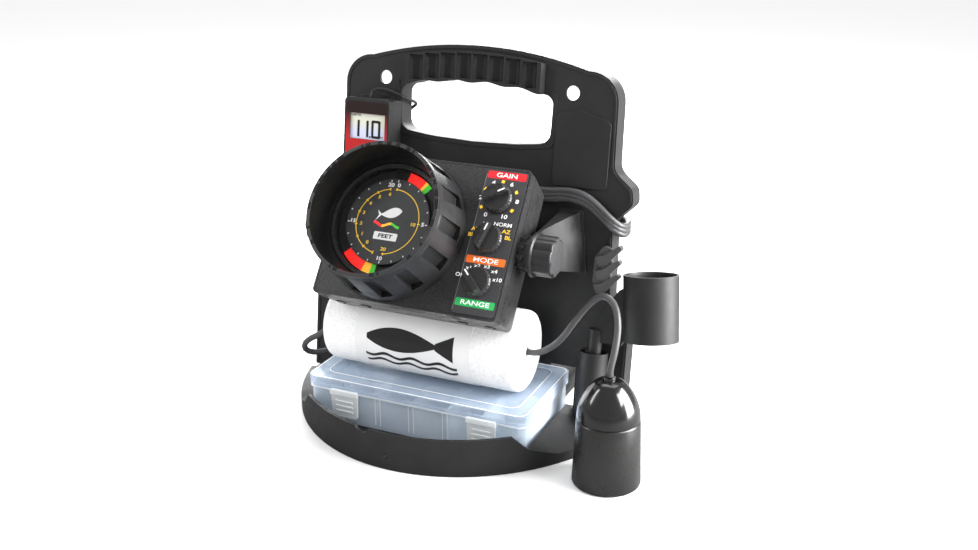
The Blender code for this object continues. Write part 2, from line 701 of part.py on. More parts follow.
def make_tilt_clamps(frame, plastic, metal):
    for label, side in (("right", 1), ("left", -1)):
        teeth = []
        for k in range(40):
            angle = 2 * math.pi * k / 40
            radius = 15.5 if k % 4 in (0, 1) else 13.2
            teeth.append((radius * math.cos(angle), radius * math.sin(angle)))
        ring = prism(teeth, *RATCHET_X)
        turn = Matrix.Rotation(-math.pi / 2 * side, 4, "Z")
        bmesh.ops.transform(ring, matrix=turn, verts=ring.verts)
        ratchet = add(f"tilt_ratchet_{label}", ring, plastic, frame)
        x0, x1 = sorted((side * (RATCHET_X[0] - 3), side * (RATCHET_X[1] + 3)))
        cut(ratchet, cylinder(STUD_R + 0.4, x0, x1, 16, "X"))
        lobes = []
        for k in range(32):
            angle = 2 * math.pi * k / 32
            radius = 15.4 + 1.3 * math.cos(8 * angle)
            lobes.append((radius * math.cos(angle), radius * math.sin(angle)))
        grip = prism(lobes, CLAMP_X[0] + 2, CLAMP_X[1])
        bmesh.ops.transform(grip, matrix=turn, verts=grip.verts)
        knob = add(f"clamp_knob_{label}", grip, plastic, frame)
        x0, x1 = sorted((side * CLAMP_X[0], side * (CLAMP_X[0] + 3.4)))
        fuse(knob, cylinder(18.8, x0, x1, 32, "X"))
        x0, x1 = sorted((side * (CLAMP_X[0] - 3), side * (CLAMP_X[0] + 13)))
        cut(knob, cylinder(STUD_R + GAP, x0, x1, 16, "X"))
        x0, x1 = sorted((side * 75.5, side * (CLAMP_X[0] + 12.5)))
        add(f"clamp_stud_{label}", cylinder(STUD_R, x0, x1, 16, "X"), metal, frame)


def make_sun_hood(frame, rubber):
    profile = [(TURRET_OUT + 0.4, FACE_Y - GAP), (HOOD_REAR_R, FACE_Y - GAP)]
    profile += [(HOOD_REAR_R, FACE_Y - 9), (HOOD_FRONT_R, HOOD_FRONT), (54.3, HOOD_FRONT)]
    profile += [(TURRET_OUT + 0.4, TURRET_FRONT - 1)]
    add("sun_hood", lathe(profile, 48, "Y", (DIAL_X, 0, DIAL_Z)), rubber, frame)


def make_display(frame, clear, printed, dark, metal, board_mat):
    at = (DIAL_X, 0, DIAL_Z)
    lens_y = TURRET_FRONT + 0.4
    add("display_lens", cylinder(TURRET_IN - 0.4, lens_y, lens_y + 1.5, 48, "Y", at), clear,
        frame)
    dial_y = lens_y + 1.5 + GAP
    add("dial_plate", cylinder(DIAL_R, dial_y, dial_y + 0.8, 48, "Y", at), printed, frame)
    disc_y = dial_y + 3.5
    profile = [(0, disc_y), (45.8, disc_y), (45.8, disc_y + 1.6), (6, disc_y + 1.6)]
    profile += [(6, disc_y + 5), (1.5, disc_y + 5), (1.5, -22), (0, -22)]
    add("flash_disc", lathe(profile, 40, "Y", at), dark, frame)
    lamp = block(DIAL_X - 4, DIAL_X + 4, disc_y - 2.2, disc_y - GAP, DIAL_Z + 38.5, DIAL_Z + 45)
    add("flash_lamp", lamp, clear, frame)
    profile = [(2, -30), (14, -30), (14, -4), (26, -4), (26, -2), (0, -2), (0, -20), (2, -20)]
    add("display_motor", lathe(profile, 24, "Y", at), metal, frame)
    add("main_board", block(-76, 68, 11, 12.6, -46, 46), board_mat, frame)


def make_controls(frame, plastic, label_mat, metal):
    face = FACE_Y - GAP
    corners = box_corners(OVERLAY_HALF, HEAD_LOW + 3, HEAD_HIGH - 3, 2, CONTROL_X + 2.2)
    plate = add("control_overlay", prism(rounded(corners), face - 0.5, face), label_mat, frame)
    for name, z in CONTROL_Z.items():
        at = (CONTROL_X, 0, z)
        cut(plate, cylinder(4.4, face - 3, face + 3, 12, "Y", at))
        kind = "pot" if name == "gain" else "switch"
        x0, x1 = CONTROL_X - 9, CONTROL_X + 9
        case = block(x0, x1, FACE_Y + SKIN + GAP, -8, z - 9, z + 9)
        pot = add(f"{name}_{kind}", case, metal, frame)
        cut(pot, cylinder(3.4, FACE_Y, -4, 12, "Y", at))
        low = face - 0.5 - GAP
        profile = [(0, low), (KNOB_R, low), (KNOB_R, low - 3), (KNOB_GRIP_R + 0.6, low - 4)]
        profile += [(KNOB_GRIP_R, low - KNOB_HEIGHT), (0, low - KNOB_HEIGHT)]
        knob = add(f"{name}_knob", lathe(profile, 24, "Y", at), plastic, frame)
        fuse(knob, cylinder(3.0, low - 2, -10, 12, "Y", at))
        step = block(CONTROL_X, CONTROL_X + 20, low - 20, low - KNOB_STEP, z - 20, z + 20)
        middle = Vector((CONTROL_X, 0, z))
        turn = Matrix.Rotation(math.radians(POINTER_CLOCK[name]), 3, "Y")
        bmesh.ops.rotate(step, cent=middle, matrix=turn, verts=step.verts)
        cut(knob, step)


def make_sockets(frame, plastic, metal, rubber):
    back = BACK_PLATE[2]
    for name, x in (("power_socket", SOCKET_X), ("transducer_socket", -SOCKET_X)):
        profile = [(0, back - 8), (6.8, back - 8), (6.8, back + GAP), (9.5, back + GAP)]
        profile += [(9.5, back + 2), (0, back + 2)]
        add(name, lathe(profile, 20, "Y", (x, 0, SOCKET_Z)), metal, frame)
    low = back + 2 + GAP
    profile = [(0, low), (8.2, low), (8.2, low + 9), (5, low + 11), (4, PLUG_END), (0, PLUG_END)]
    add("transducer_plug", lathe(profile, 20, "Y", (-SOCKET_X, 0, SOCKET_Z)), rubber, frame)


def make_float(foam, film):
    y, z = FLOAT_AXIS
    x0, x1 = FLOAT_X
    r = FLOAT_R
    profile = [(FLOAT_BORE, x0), (r - 5, x0), (r - 1.5, x0 + 1.5), (r, x0 + 5), (r, x1 - 5)]
    profile += [(r - 1.5, x1 - 1.5), (r - 5, x1), (FLOAT_BORE, x1)]
    add("float_body", lathe(profile, 36, "X", (0, y, z)), foam)
    add("float_sleeve", tube(r + 0.55, r + GAP, *SLEEVE_X, 36, "X", (0, y, z)), film)


def tray_shape(half, y0, y1, z0, z1, radius):
    corners = [(half, y0, radius), (half, y1, radius), (-half, y1, radius), (-half, y0, radius)]
    return slab(rounded(corners, 3), z0, z1)


def make_tray(clear):
    y0, y1 = TRAY_Y
    body = add("tray_body", tray_shape(TRAY_HALF, y0, y1, TRAY_Z, 40, 6), clear)
    wall = TRAY_WALL
    inside = (TRAY_HALF - wall, y0 + wall, y1 - wall)
    cut(body, tray_shape(*inside, TRAY_Z + wall, 50, 5))
    lid = add("tray_lid", tray_shape(LID_HALF, *LID_Y, *LID_Z, 8), clear)
    cut(lid, tray_shape(LID_HALF - wall, LID_Y[0] + wall, LID_Y[1] - wall, LID_Z[0] - 3,
                        LID_Z[1] - wall, 6))
    low = TRAY_Z + wall + GAP
    middle = (y0 + y1) / 2
    reach = TRAY_HALF - wall - GAP
    lattice = block(-reach, reach, middle, middle + 1.2, low, 38)
    dividers = add("tray_dividers", lattice, clear)
    for x in DIVIDERS:
        fuse(dividers, block(x, x + 1.2, y0 + wall + GAP, middle + 0.6, low, 38))
    for label, x in (("right", LATCH_X), ("left", -LATCH_X)):
        front = LID_Y[0] - GAP
        latch = block(x - LATCH_HALF, x + LATCH_HALF, front - 1.8, front, 13.5, 39)
        made = add(f"tray_latch_{label}", latch, clear)
        fuse(made, block(x - LATCH_HALF, x + LATCH_HALF, front - 3.4, front - 1, 34.5, 39))


def make_transducer(satin, gloss):
    at = (*TRANSDUCER, 0)
    r = TRANSDUCER_R
    top_r = TRANSDUCER_TOP_R
    profile = [(0, 0), (r - 1, 0), (r, 1), (top_r, SEAM_Z), (0, SEAM_Z)]
    add("transducer_body", lathe(profile, 36, "Z", at), satin)
    dome = [(0, SEAM_Z + GAP), (top_r, SEAM_Z + GAP)]
    for k in range(1, 9):
        share = k / 8
        swell = math.cos(share * math.pi / 2) ** 0.68
        dome.append((DOME_NECK_R + (top_r - DOME_NECK_R) * swell,
                     SEAM_Z + GAP + (DOME_TOP - SEAM_Z - GAP) * share))
    dome += [(5, DOME_TOP), (5, NIPPLE_TOP), (0, NIPPLE_TOP)]
    add("transducer_dome", lathe(dome, 36, "Z", at), gloss)


def make_depth_meter(frame, plastic, label_mat, clear):
    x0, x1 = METER_X
    z0, z1 = METER_Z
    cx, half = (x0 + x1) / 2, (x1 - x0) / 2
    corners = box_corners(half, z0, z1, 4, cx)
    outline = rounded(corners)
    case = add("meter_case", prism(outline, METER_FRONT + 1, -GAP), plastic, frame)
    cut(case, prism(rounded(inset(corners, 2)), METER_FRONT - 2, -2.3))
    lead_hole = cylinder(LEAD_R + 0.6, z1 - 6, z1 + 4, 12, "Z", (LEAD_ROUTE[0][0], -10, 0))
    cut(case, lead_hole)
    face = add("meter_face", prism(outline, METER_FRONT - 0.8, METER_FRONT + 0.7), label_mat,
               frame)
    low, high = z0 + 17, z1 - 14
    cut(face, block(x0 + 6, x1 - 4.5, METER_FRONT - 3, METER_FRONT + 3, low, high))
    screen = block(x0 + 4, x1 - 3, METER_FRONT + 1, METER_FRONT + 2.6, low - 2, high + 2)
    add("meter_screen", screen, clear, frame)
    cord_tube("meter_lead", LEAD_ROUTE, LEAD_R, 5.0, plastic, frame)
    x, y, z = LEAD_PLUG
    profile = [(0, z - 26), (4.2, z - 26), (4.2, z - 8), (2.4, z - GAP), (0, z - GAP)]
    add("meter_plug", lathe(profile, 12, "Z", (x, y, 0)), plastic, frame)


def make_cable(cable_mat):
    cord_tube("transducer_cable", CABLE_ROUTE, CABLE_R, 14.0, cable_mat)
    cord_tube("cable_tail", TAIL_ROUTE, CABLE_R, 9.0, cable_mat)
    half = WINDING_HALF_ROUTE
    ring = half + [(-x, y, z) for x, y, z in reversed(half[1:-1])]
    path = smooth_route(ring, 15.0, closed=True)
    shape = bmesh.new()
    rings = []
    count = len(path)
    for k, point in enumerate(path):
        along = (path[(k + 1) % count] - path[k - 1]).normalized()
        across = (Vector((0, 0, 1)) - along * along.z).normalized()
        out = along.cross(across)
        corners = []
        for a, b in ((1, 1), (1, -1), (-1, -1), (-1, 1)):
            offset = across * a * WINDING_HALF_HEIGHT + out * b * WINDING_HALF_THICK
            corners.append(shape.verts.new(point + offset))
        rings.append(corners)
    for k, corners in enumerate(rings):
        following = rings[(k + 1) % count]
        for j in range(4):
            nxt = (j + 1) % 4
            shape.faces.new((corners[j], corners[nxt], following[nxt], following[j]))
    add("cable_winding", shape, cable_mat)


def weld_seams():
    """Close the hairline seams that a chain of Booleans leaves."""
    for thing in bpy.data.objects:
        if thing.modifiers and not thing.hide_render:
            weld = thing.modifiers.new("weld", "WELD")
            weld.merge_threshold = WELD_DISTANCE


clear_scene()
SCENE_ROOT = empty("pack_frame", (0, 0, 0))
panel_frame = empty("panel_frame", (0, PANEL_FOOT_Y, 0), PANEL_LEAN)
head_frame = empty("head_frame", (0, *TILT_AXIS), HEAD_LEAN)
rod_frame = empty("rod_frame", ROD_PIVOT, ROD_LEAN)

matte_black = finish_material("matte_black_plastic", (0.028, 0.028, 0.029), 0.55)
satin_black = finish_material("satin_black_plastic", (0.03, 0.03, 0.031), 0.38)
gloss_black = finish_material("gloss_black_plastic", (0.012, 0.012, 0.012), 0.08)
black_rubber = finish_material("black_rubber", (0.022, 0.022, 0.023), 0.6)
grey_cable = finish_material("grey_cable", (0.06, 0.06, 0.062), 0.5)
white_foam = finish_material("white_foam", (0.82, 0.82, 0.82), 0.9)
film = finish_material("white_film", (0.86, 0.86, 0.86), 0.3)
clear_plastic = finish_material("clear_plastic", (0.62, 0.70, 0.78), 0.2, alpha=0.4)
clear_lens = finish_material("clear_lens", (0.9, 0.9, 0.9), 0.05, alpha=0.3)
printed_dial = finish_material("printed_dial", (0.05, 0.05, 0.052), 0.5)
overlay_mat = finish_material("control_label", (0.04, 0.04, 0.042), 0.45)
meter_label = finish_material("meter_label", (0.6, 0.03, 0.03), 0.4)
screen_mat = finish_material("meter_screen", (0.6, 0.64, 0.58), 0.3)
board = finish_material("green_board", (0.03, 0.16, 0.06), 0.5)
battery_grey = finish_material("battery_grey", (0.12, 0.12, 0.13), 0.5)
strap_web = finish_material("strap_webbing", (0.02, 0.02, 0.022), 0.9)
steel = finish_material("plated_steel", (0.6, 0.6, 0.62), 0.3, 1.0)

make_case_panel(panel_frame, matte_black)
make_base_pan(matte_black)
make_case_screws(steel)
make_battery_bay(matte_black, battery_grey, strap_web)
make_yoke_arm("yoke_arm_right", 1, panel_frame, matte_black)
make_yoke_arm("yoke_arm_left", -1, panel_frame, matte_black)
make_arm_screws(panel_frame, steel)
make_rod_holder(rod_frame, matte_black)
make_line_comb(panel_frame, black_rubber)
make_head_bezel(head_frame, satin_black, black_rubber)
make_head_housing(head_frame, satin_black)
make_tilt_clamps(head_frame, satin_black, steel)
make_sun_hood(head_frame, black_rubber)
make_display(head_frame, clear_lens, printed_dial, gloss_black, steel, board)
make_controls(head_frame, satin_black, overlay_mat, steel)
make_sockets(head_frame, satin_black, steel, black_rubber)
make_float(white_foam, film)
make_tray(clear_plastic)
make_transducer(satin_black, gloss_black)
make_depth_meter(panel_frame, satin_black, meter_label, screen_mat)
make_cable(grey_cable)
weld_seams()
bpy.context.view_layer.update()
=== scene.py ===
"""Looks for the ice-fishing flasher pack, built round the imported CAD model.

Lengths are in millimetres, apart from the camera's and the lamps' places, which are in metres.
"""
import math

import bmesh
import bpy
from mathutils import Matrix, Vector


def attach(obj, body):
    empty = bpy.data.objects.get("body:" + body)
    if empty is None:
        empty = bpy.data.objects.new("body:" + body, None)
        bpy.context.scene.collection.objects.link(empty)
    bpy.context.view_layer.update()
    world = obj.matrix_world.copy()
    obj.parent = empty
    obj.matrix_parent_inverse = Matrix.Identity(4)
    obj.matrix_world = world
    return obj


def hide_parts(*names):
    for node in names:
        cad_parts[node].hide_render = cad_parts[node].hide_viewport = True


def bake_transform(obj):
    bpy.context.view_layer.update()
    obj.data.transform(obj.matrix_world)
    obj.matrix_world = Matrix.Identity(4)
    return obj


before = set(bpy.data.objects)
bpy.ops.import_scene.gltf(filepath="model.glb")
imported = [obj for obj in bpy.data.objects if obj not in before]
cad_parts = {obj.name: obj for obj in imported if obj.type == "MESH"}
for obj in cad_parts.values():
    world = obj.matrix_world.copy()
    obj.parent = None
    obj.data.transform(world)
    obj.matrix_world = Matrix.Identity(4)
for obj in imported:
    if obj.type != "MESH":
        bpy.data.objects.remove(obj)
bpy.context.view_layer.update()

MM = 0.001
GAP = 0.3
SIDES = (("right", 1), ("left", -1))

# The frames that pieces are drawn in
PANEL_FOOT_Y, PANEL_SLOPE = 22.7, 0.14
TILT_AXIS, HEAD_LEAN = (-29.7, 175.2), 36
ROD_PIVOT, ROD_LEAN = (132, 19.6, 76), 12
WORLD = Matrix.Identity(4)
PANEL = Matrix.Translation((0, PANEL_FOOT_Y, 0)) @ Matrix.Rotation(-math.atan(PANEL_SLOPE), 4, "X")
HEAD = Matrix.Translation((0, *TILT_AXIS)) @ Matrix.Rotation(math.radians(-HEAD_LEAN), 4, "X")
ROD = Matrix.Translation(ROD_PIVOT) @ Matrix.Rotation(math.radians(-ROD_LEAN), 4, "X")

# Case panel
PANEL_BOTTOM, PANEL_LOW_HALF, WAIST_HALF, WINDOW_HALF, WINDOW_TOP = 9.2, 157, 135.5, 112, 53
PANEL_DEPTH = 20.0
SKIN = 3.0
OPENING_LOW, OPENING_HIGH, OPENING_HALF = 243.5, 296.0, 72.6
PANEL_TOP, TOP_ARC_RADIUS, TOP_ARC_HALF = 327.2, 380.0, 104.0
HANG_HOLE = (90.5, 293.3, 6.25)
GRIP_X, GRIP_PITCH, GRIP_SCALLOPS, GRIP_PROUD = -2.5, 15.6, 8, 7.0
GRIP_TOP_GAP, GROOVE_R, GRIP_WAVE = 5.5, 7.0, 1.0

# Base pan
BASE_A, BASE_B, BASE_CENTRE_Y = 163.6, 185.9, 68.4
FLOOR, LIP_TOP, WING_X, WING_Z, RIM_Z, WALL = 5.7, 33.0, 107.2, 20.0, 9.0, 3.0
SHELF_HALF, SHELF_BACK, PAN_BACK, RIM_STEPS = 88, 134, 47, 160

# Yoke arms, in the panel's frame, and rod holder
ARM_ROOT_Z, ARM_ROOT_X, ARM_TIP_X = (140.0, 193.0), (88.0, 106.0, 114.0), 94.0
ARM_INNER_X, ARM_BOSS_X, ARM_BOSS_R, ARM_STRAIGHT = 90.8, 95.0, 14.5, 21.0
CUP_R, CUP_BORE, CUP_X, CUP_Z, CUP_TILT = 23.7, 21.2, 46.3, 45.65, 6
CUP_HALF, PIN_R, SOCKET_R = 28.35, 6.2, 12.6

# Flasher head, in its own frame
FACE_Y, BEZEL_BACK = -22.0, -12.0
HEAD_HALF, HEAD_LOW, HEAD_HIGH, SHELL = 84.5, -66.0, 63.7, 2.5
HOUSING_FRONT, HOUSING_BACK, CLIP_X, SOCKET_X, STUD_HOLE_R = -10.6, 23, 58, 35, 4.3
DIAL = Vector((-22.5, 0, -1.1))
DIAL_R, TURRET_OUT, TURRET_IN, TURRET_FRONT = 37.4, 50.0, 46.8, -42.5
DIAL_FRONT = -40.3
HOOD_FRONT, HOOD_REAR_R, HOOD_FRONT_R = -72.0, 62.5, 57.0
HOOD_SLOTS = 14
CONTROL_X, OVERLAY_X, OVERLAY_HALF = 62.0, 64.2, 18.7
CONTROL_Z = {"gain": 35.3, "mode": 0.5, "range": -36.3}
POINTER = {"gain": 60.0, "mode": 15.0, "range": -45.0}
OVERLAY_FRONT = -22.8
KNOB_R, KNOB_GRIP_R, KNOB_HEIGHT, KNOB_STEP = 12.5, 10.8, 13.0, 7.0
CLAMP_X = (95.3, 115.0)

# Float, tray and transducer
DIVIDERS = (-68.0, -35.5, -2.7, 30.0, 62.8)
FLOAT_AXIS = (-21.0, 83.6)
FLOAT_R, FLOAT_BORE = 35.6, 3.8
FLOAT_X, SLEEVE_X = (-97.0, 87.0), (-62.0, 48.0)
TRAY_Z, TRAY_HALF, TRAY_Y, TRAY_WALL = 6.0, 103.0, (-68.6, 35.2), 1.6
LID_HALF, LID_Y, LID_Z = 105.0, (-70.5, 37.0), (36.0, 47.1)
LATCH_X, LATCH_HALF = 66.0, 13.5
TRANSDUCER, TRANSDUCER_R, TRANSDUCER_TOP_R = (172.5, -58.6, 0), 28.3, 26.0
SEAM_Z, DOME_TOP, DOME_NECK_R, NIPPLE_TOP = 57.0, 90.0, 9.0, 93.0

# Depth meter, in the panel's frame
METER_X, METER_Z, METER_FRONT = (-119.5, -73.0), (220.5, 274.5), -22.0

# Transducer cable
CABLE_D = 5.5
STRAND_PITCH = 5.6
TURNS = 3
CABLE_ROUTE = [
    (172.5, -58.6, 93.6), (172.5, -58.5, 100.0), (174.0, -54.5, 112.0), (173.9, -48.0, 125.1),
    (172.2, -43.0, 134.2), (169.1, -38.0, 141.1), (165.1, -34.0, 145.4), (160.2, -31.0, 147.8),
    (154.3, -28.0, 147.7), (146.4, -25.0, 142.6), (138.1, -23.0, 133.4), (128.7, -22.0, 119.5),
    (117.0, -21.3, 101.5), (106.0, -21.0, 90.5), (96.0, -21.0, 84.8), (86.0, -21.0, 83.6),
    (60.0, -21.0, 83.6), (30.0, -21.0, 83.6), (0.0, -21.0, 83.6), (-35.0, -21.0, 83.6),
    (-70.0, -21.0, 83.6), (-97.0, -21.0, 83.6), (-105.0, -21.0, 80.5), (-111.5, -20.7, 73.0),
    (-117.5, -20.5, 66.5), (-126.0, -20.0, 60.8), (-135.0, -19.0, 55.0), (-141.5, -17.0, 48.0),
    (-143.0, -13.5, 41.5), (-140.5, -8.0, 37.0), (-133.0, -1.5, 36.0), (-122.0, 6.0, 40.0),
    (-110.5, 13.0, 50.5), (-98.5, 18.5, 66.0), (-84.0, 22.0, 84.0), (-70.0, 25.5, 102.0),
    (-57.0, 29.5, 122.0), (-48.0, 34.0, 143.0), (-46.0, 39.0, 162.0), (-49.0, 42.5, 176.0),
    (-54.5, 45.2, 187.5),
]
TAIL_ROUTE = [
    (-5.0, 45.4, 193.4), (-6.0, 45.2, 188.0), (-10.5, 43.6, 178.0), (-17.0, 42.0, 168.0),
    (-23.0, 40.6, 158.5), (-28.5, 37.4, 149.0), (-32.5, 31.8, 141.6), (-34.6, 24.6, 138.6),
    (-35.0, 17.4, 141.0), (-35.0, 11.1, 145.5),
]
WINDING_HALF_ROUTE = [
    (0.0, 45.4, 203.0), (40.0, 45.4, 202.5), (75.0, 45.4, 203.0), (92.0, 45.0, 205.0),
    (104.0, 44.0, 205.0), (114.0, 43.2, 202.2), (125.0, 42.8, 194.6), (134.0, 42.4, 187.2),
    (141.4, 45.2, 180.6), (144.6, 51.5, 178.0), (144.8, 60.0, 177.0), (142.0, 70.0, 176.8),
    (134.0, 74.8, 177.0), (118.0, 75.0, 177.4), (80.0, 75.0, 177.4), (40.0, 75.0, 177.4),
    (0.0, 75.0, 177.4),
]


# ---------------------------------------------------------------- materials

def feed(tree, target, inputs):
    """Give a node's inputs plain values, or sockets to read from."""
    for key, value in inputs.items():
        if isinstance(value, bpy.types.NodeSocket):
            tree.links.new(value, target.inputs[key])
        else:
            target.inputs[key].default_value = value


def node(tree, kind, inputs=None, **settings):
    made = tree.nodes.new(kind)
    for key, value in settings.items():
        setattr(made, key, value)
    feed(tree, made, inputs or {})
    return made


def shader_of(name):
    made = bpy.data.materials.new(name)
    made.use_nodes = True
    tree = made.node_tree
    return made, tree, tree.nodes["Principled BSDF"]


def place(tree):
    return node(tree, "ShaderNodeTexCoord").outputs["Object"]


def noise(tree, size, detail=2.0):
    """Noise whose features are about size millimetres across."""
    inputs = {"Scale": 1 / (size * MM), "Detail": detail, "Vector": place(tree)}
    return node(tree, "ShaderNodeTexNoise", inputs).outputs["Fac"]


def cells(tree, size):
    """Soft rounded cells about size millimetres across."""
    inputs = {"Scale": 1 / (size * MM), "Vector": place(tree)}
    made = node(tree, "ShaderNodeTexVoronoi", inputs, feature="SMOOTH_F1")
    return made.outputs["Distance"]


def mapped(tree, value, span, low, high):
    """A value that runs from low to high while another crosses its span."""
    inputs = {"From Min": span[0], "From Max": span[1], "To Min": low, "To Max": high}
    return node(tree, "ShaderNodeMapRange", {**inputs, "Value": value}).outputs["Result"]


def spread(tree, value, low, high):
    """Stretch the middle of a noise's range from low to high."""
    return mapped(tree, value, (0.3, 0.7), low, high)


def tint(tree, value, first, second):
    ramp = node(tree, "ShaderNodeValToRGB", {"Fac": value})
    stops = ramp.color_ramp.elements
    for stop, position, colour in ((stops[0], 0.35, first), (stops[1], 0.65, second)):
        stop.position = position
        stop.color = (*colour, 1)
    return ramp.outputs["Color"]


def scaled(colour, factor):
    return [min(1.0, c * factor) for c in colour]


def bump(tree, height, depth):
    inputs = {"Distance": depth * MM, "Height": height}
    return node(tree, "ShaderNodeBump", inputs).outputs["Normal"]


def moulded(name, colour, roughness, grain=0.5, depth=0.04, streak=0.12, coat=0.0):
    """Moulded plastic or rubber: cloudy colour, uneven gloss and a fine spark-eroded grain."""
    made, tree, shader = shader_of(name)
    darker, lighter = scaled(colour, 1 - streak), scaled(colour, 1 + streak)
    feed(tree, shader, {
        "Base Color": tint(tree, noise(tree, 30), darker, lighter),
        "Roughness": spread(tree, noise(tree, 9, 4), roughness - 0.05, roughness + 0.07),
        "Normal": bump(tree, noise(tree, grain, 3), depth),
        "Coat Weight": coat, "Coat Roughness": 0.2})
    return made


def pebbled(name, colour, roughness, cell, depth):
    """A leather-like pebble grain."""
    made, tree, shader = shader_of(name)
    height = cells(tree, cell)
    feed(tree, shader, {"Base Color": tint(tree, height, scaled(colour, 1.9), colour),
                        "Roughness": roughness, "Normal": bump(tree, height, depth)})
    return made


def bead_foam():
    made, tree, shader = shader_of("bead_foam")
    height = cells(tree, 2.1)
    feed(tree, shader, {
        "Base Color": tint(tree, height, (0.74, 0.74, 0.74), (0.67, 0.67, 0.675)),
        "Roughness": 0.7, "Subsurface Weight": 0.15, "Subsurface Radius": (0.002, 0.002, 0.002),
        "Normal": bump(tree, height, -0.3)})
    return made


def frosted(name, colour, alpha, roughness=0.22):
    """Translucent polypropylene with a faint flow pattern."""
    made, tree, shader = shader_of(name)
    flow = noise(tree, 45, 3)
    edge = node(tree, "ShaderNodeLayerWeight", {"Blend": 0.35}).outputs["Facing"]
    feed(tree, shader, {
        "Base Color": tint(tree, flow, colour, scaled(colour, 1.08)),
        "Roughness": spread(tree, flow, roughness, roughness + 0.12),
        "Alpha": spread(tree, edge, alpha, min(1.0, alpha + 0.35))})
    return made


def printed(name, colour, roughness=0.35, glow=0.0):
    made, tree, shader = shader_of(name)
    feed(tree, shader, {"Base Color": tint(tree, noise(tree, 3), scaled(colour, 0.93), colour),
                        "Roughness": roughness})
    if glow:
        feed(tree, shader, {"Emission Color": (*colour, 1), "Emission Strength": glow})
    return made


def clear(name):
    made, tree, shader = shader_of(name)
    feed(tree, shader, {"Base Color": (0.02, 0.02, 0.02, 1), "Alpha": 0.06,
                        "Roughness": spread(tree, noise(tree, 20), 0.02, 0.05)})
    return made


def brushed(name, colour, roughness):
    made, tree, shader = shader_of(name)
    feed(tree, shader, {
        "Base Color": (*colour, 1), "Metallic": 1.0,
        "Roughness": spread(tree, noise(tree, 1.5, 4), roughness, roughness + 0.15)})
    return made


def graded_label(name, low, high, z_low, z_high):
    """A film or screen whose colour runs from low at the foot to high at the head."""
    made, tree, shader = shader_of(name)
    split = node(tree, "ShaderNodeSeparateXYZ", {"Vector": place(tree)})
    along = mapped(tree, split.outputs["Z"], (z_low * MM, z_high * MM), 0.0, 1.0)
    feed(tree, shader, {"Base Color": tint(tree, along, low, high), "Roughness": 0.28})
    return made


def woven(name, colour):
    made, tree, shader = shader_of(name)
    inputs = {"Scale": 0.35 / MM, "Distortion": 1.0, "Vector": place(tree)}
    weave = node(tree, "ShaderNodeTexWave", inputs).outputs["Fac"]
    feed(tree, shader, {"Base Color": tint(tree, weave, colour, scaled(colour, 2)),
                        "Roughness": 0.9, "Normal": bump(tree, weave, 0.2)})
    return made


case_black = moulded("case_black", (0.012, 0.012, 0.0125), 0.50, 0.6, 0.05)
arm_black = moulded("arm_black", (0.017, 0.017, 0.0175), 0.42, 0.6, 0.05)
head_black = moulded("head_black", (0.022, 0.022, 0.0225), 0.30, 0.9, 0.008)
meter_black = moulded("meter_black", (0.007, 0.007, 0.007), 0.5, 0.6, 0.03)
face_black = pebbled("face_black", (0.014, 0.014, 0.0145), 0.40, 1.1, 0.45)
hood_black = moulded("hood_black", (0.016, 0.016, 0.017), 0.36, 0.8, 0.03, coat=0.15)
knob_black = moulded("knob_black", (0.020, 0.020, 0.021), 0.26, 0.5, 0.02)
clamp_black = moulded("clamp_black", (0.016, 0.016, 0.016), 0.34, 0.9, 0.06)
# A darker copy of the hood's plastic for the faces inside the hood: painted shade in the bore.
hood_bore_painted_shade = moulded("hood_bore_painted_shade", (0.007, 0.007, 0.007), 0.16, 6.0, 0.01)
matt_black = moulded("matt_black", (0.016, 0.016, 0.017), 0.6, 0.8, 0.03)
worn_grey = pebbled("worn_grey", (0.020, 0.020, 0.021), 0.42, 1.3, 0.2)
comb_grey = moulded("comb_grey", (0.060, 0.060, 0.061), 0.5, 0.8, 0.05)
satin_grey = moulded("satin_grey", (0.012, 0.0118, 0.0115), 0.30, 1.2, 0.015, coat=0.2)
gloss_black = moulded("gloss_black", (0.005, 0.005, 0.005), 0.10, 4.0, 0.005, coat=0.6)
cable_grey = moulded("cable_grey", (0.050, 0.050, 0.052), 0.40, 1.5, 0.03)
foam_white = bead_foam()
sleeve_white = moulded("sleeve_white", (0.68, 0.68, 0.685), 0.33, 1.8, 0.05, 0.02)
tray_clear = frosted("tray_clear", (0.74, 0.84, 0.97), 0.38, 0.14)
# The lid takes a darker copy of the tray's plastic: painted shade on the lid.
lid_clear_painted_shade = frosted("lid_clear_painted_shade", (0.56, 0.67, 0.83), 0.26, 0.20)
tray_rib = frosted("tray_rib", (0.90, 0.95, 1.0), 0.62, 0.2)
# Bright lines round the lid's edges: painted highlights.
tray_edge_painted_highlight = frosted("tray_edge_painted_highlight", (0.95, 0.98, 1.0), 0.85, 0.2)
lens_clear = clear("lens_clear")
board_green = moulded("board_green", (0.02, 0.12, 0.05), 0.4)
battery_grey = moulded("battery_grey", (0.11, 0.11, 0.12), 0.5)
webbing = woven("webbing", (0.02, 0.02, 0.022))
steel = brushed("steel", (0.6, 0.6, 0.62), 0.25)
overlay_dark = moulded("overlay_dark", (0.040, 0.040, 0.043), 0.40, 0.3, 0.01, 0.05)
dial_dark = moulded("dial_dark", (0.045, 0.046, 0.049), 0.5, 0.3, 0.01, 0.04)
window_dark = moulded("window_dark", (0.014, 0.014, 0.015), 0.6, 0.8, 0.01)
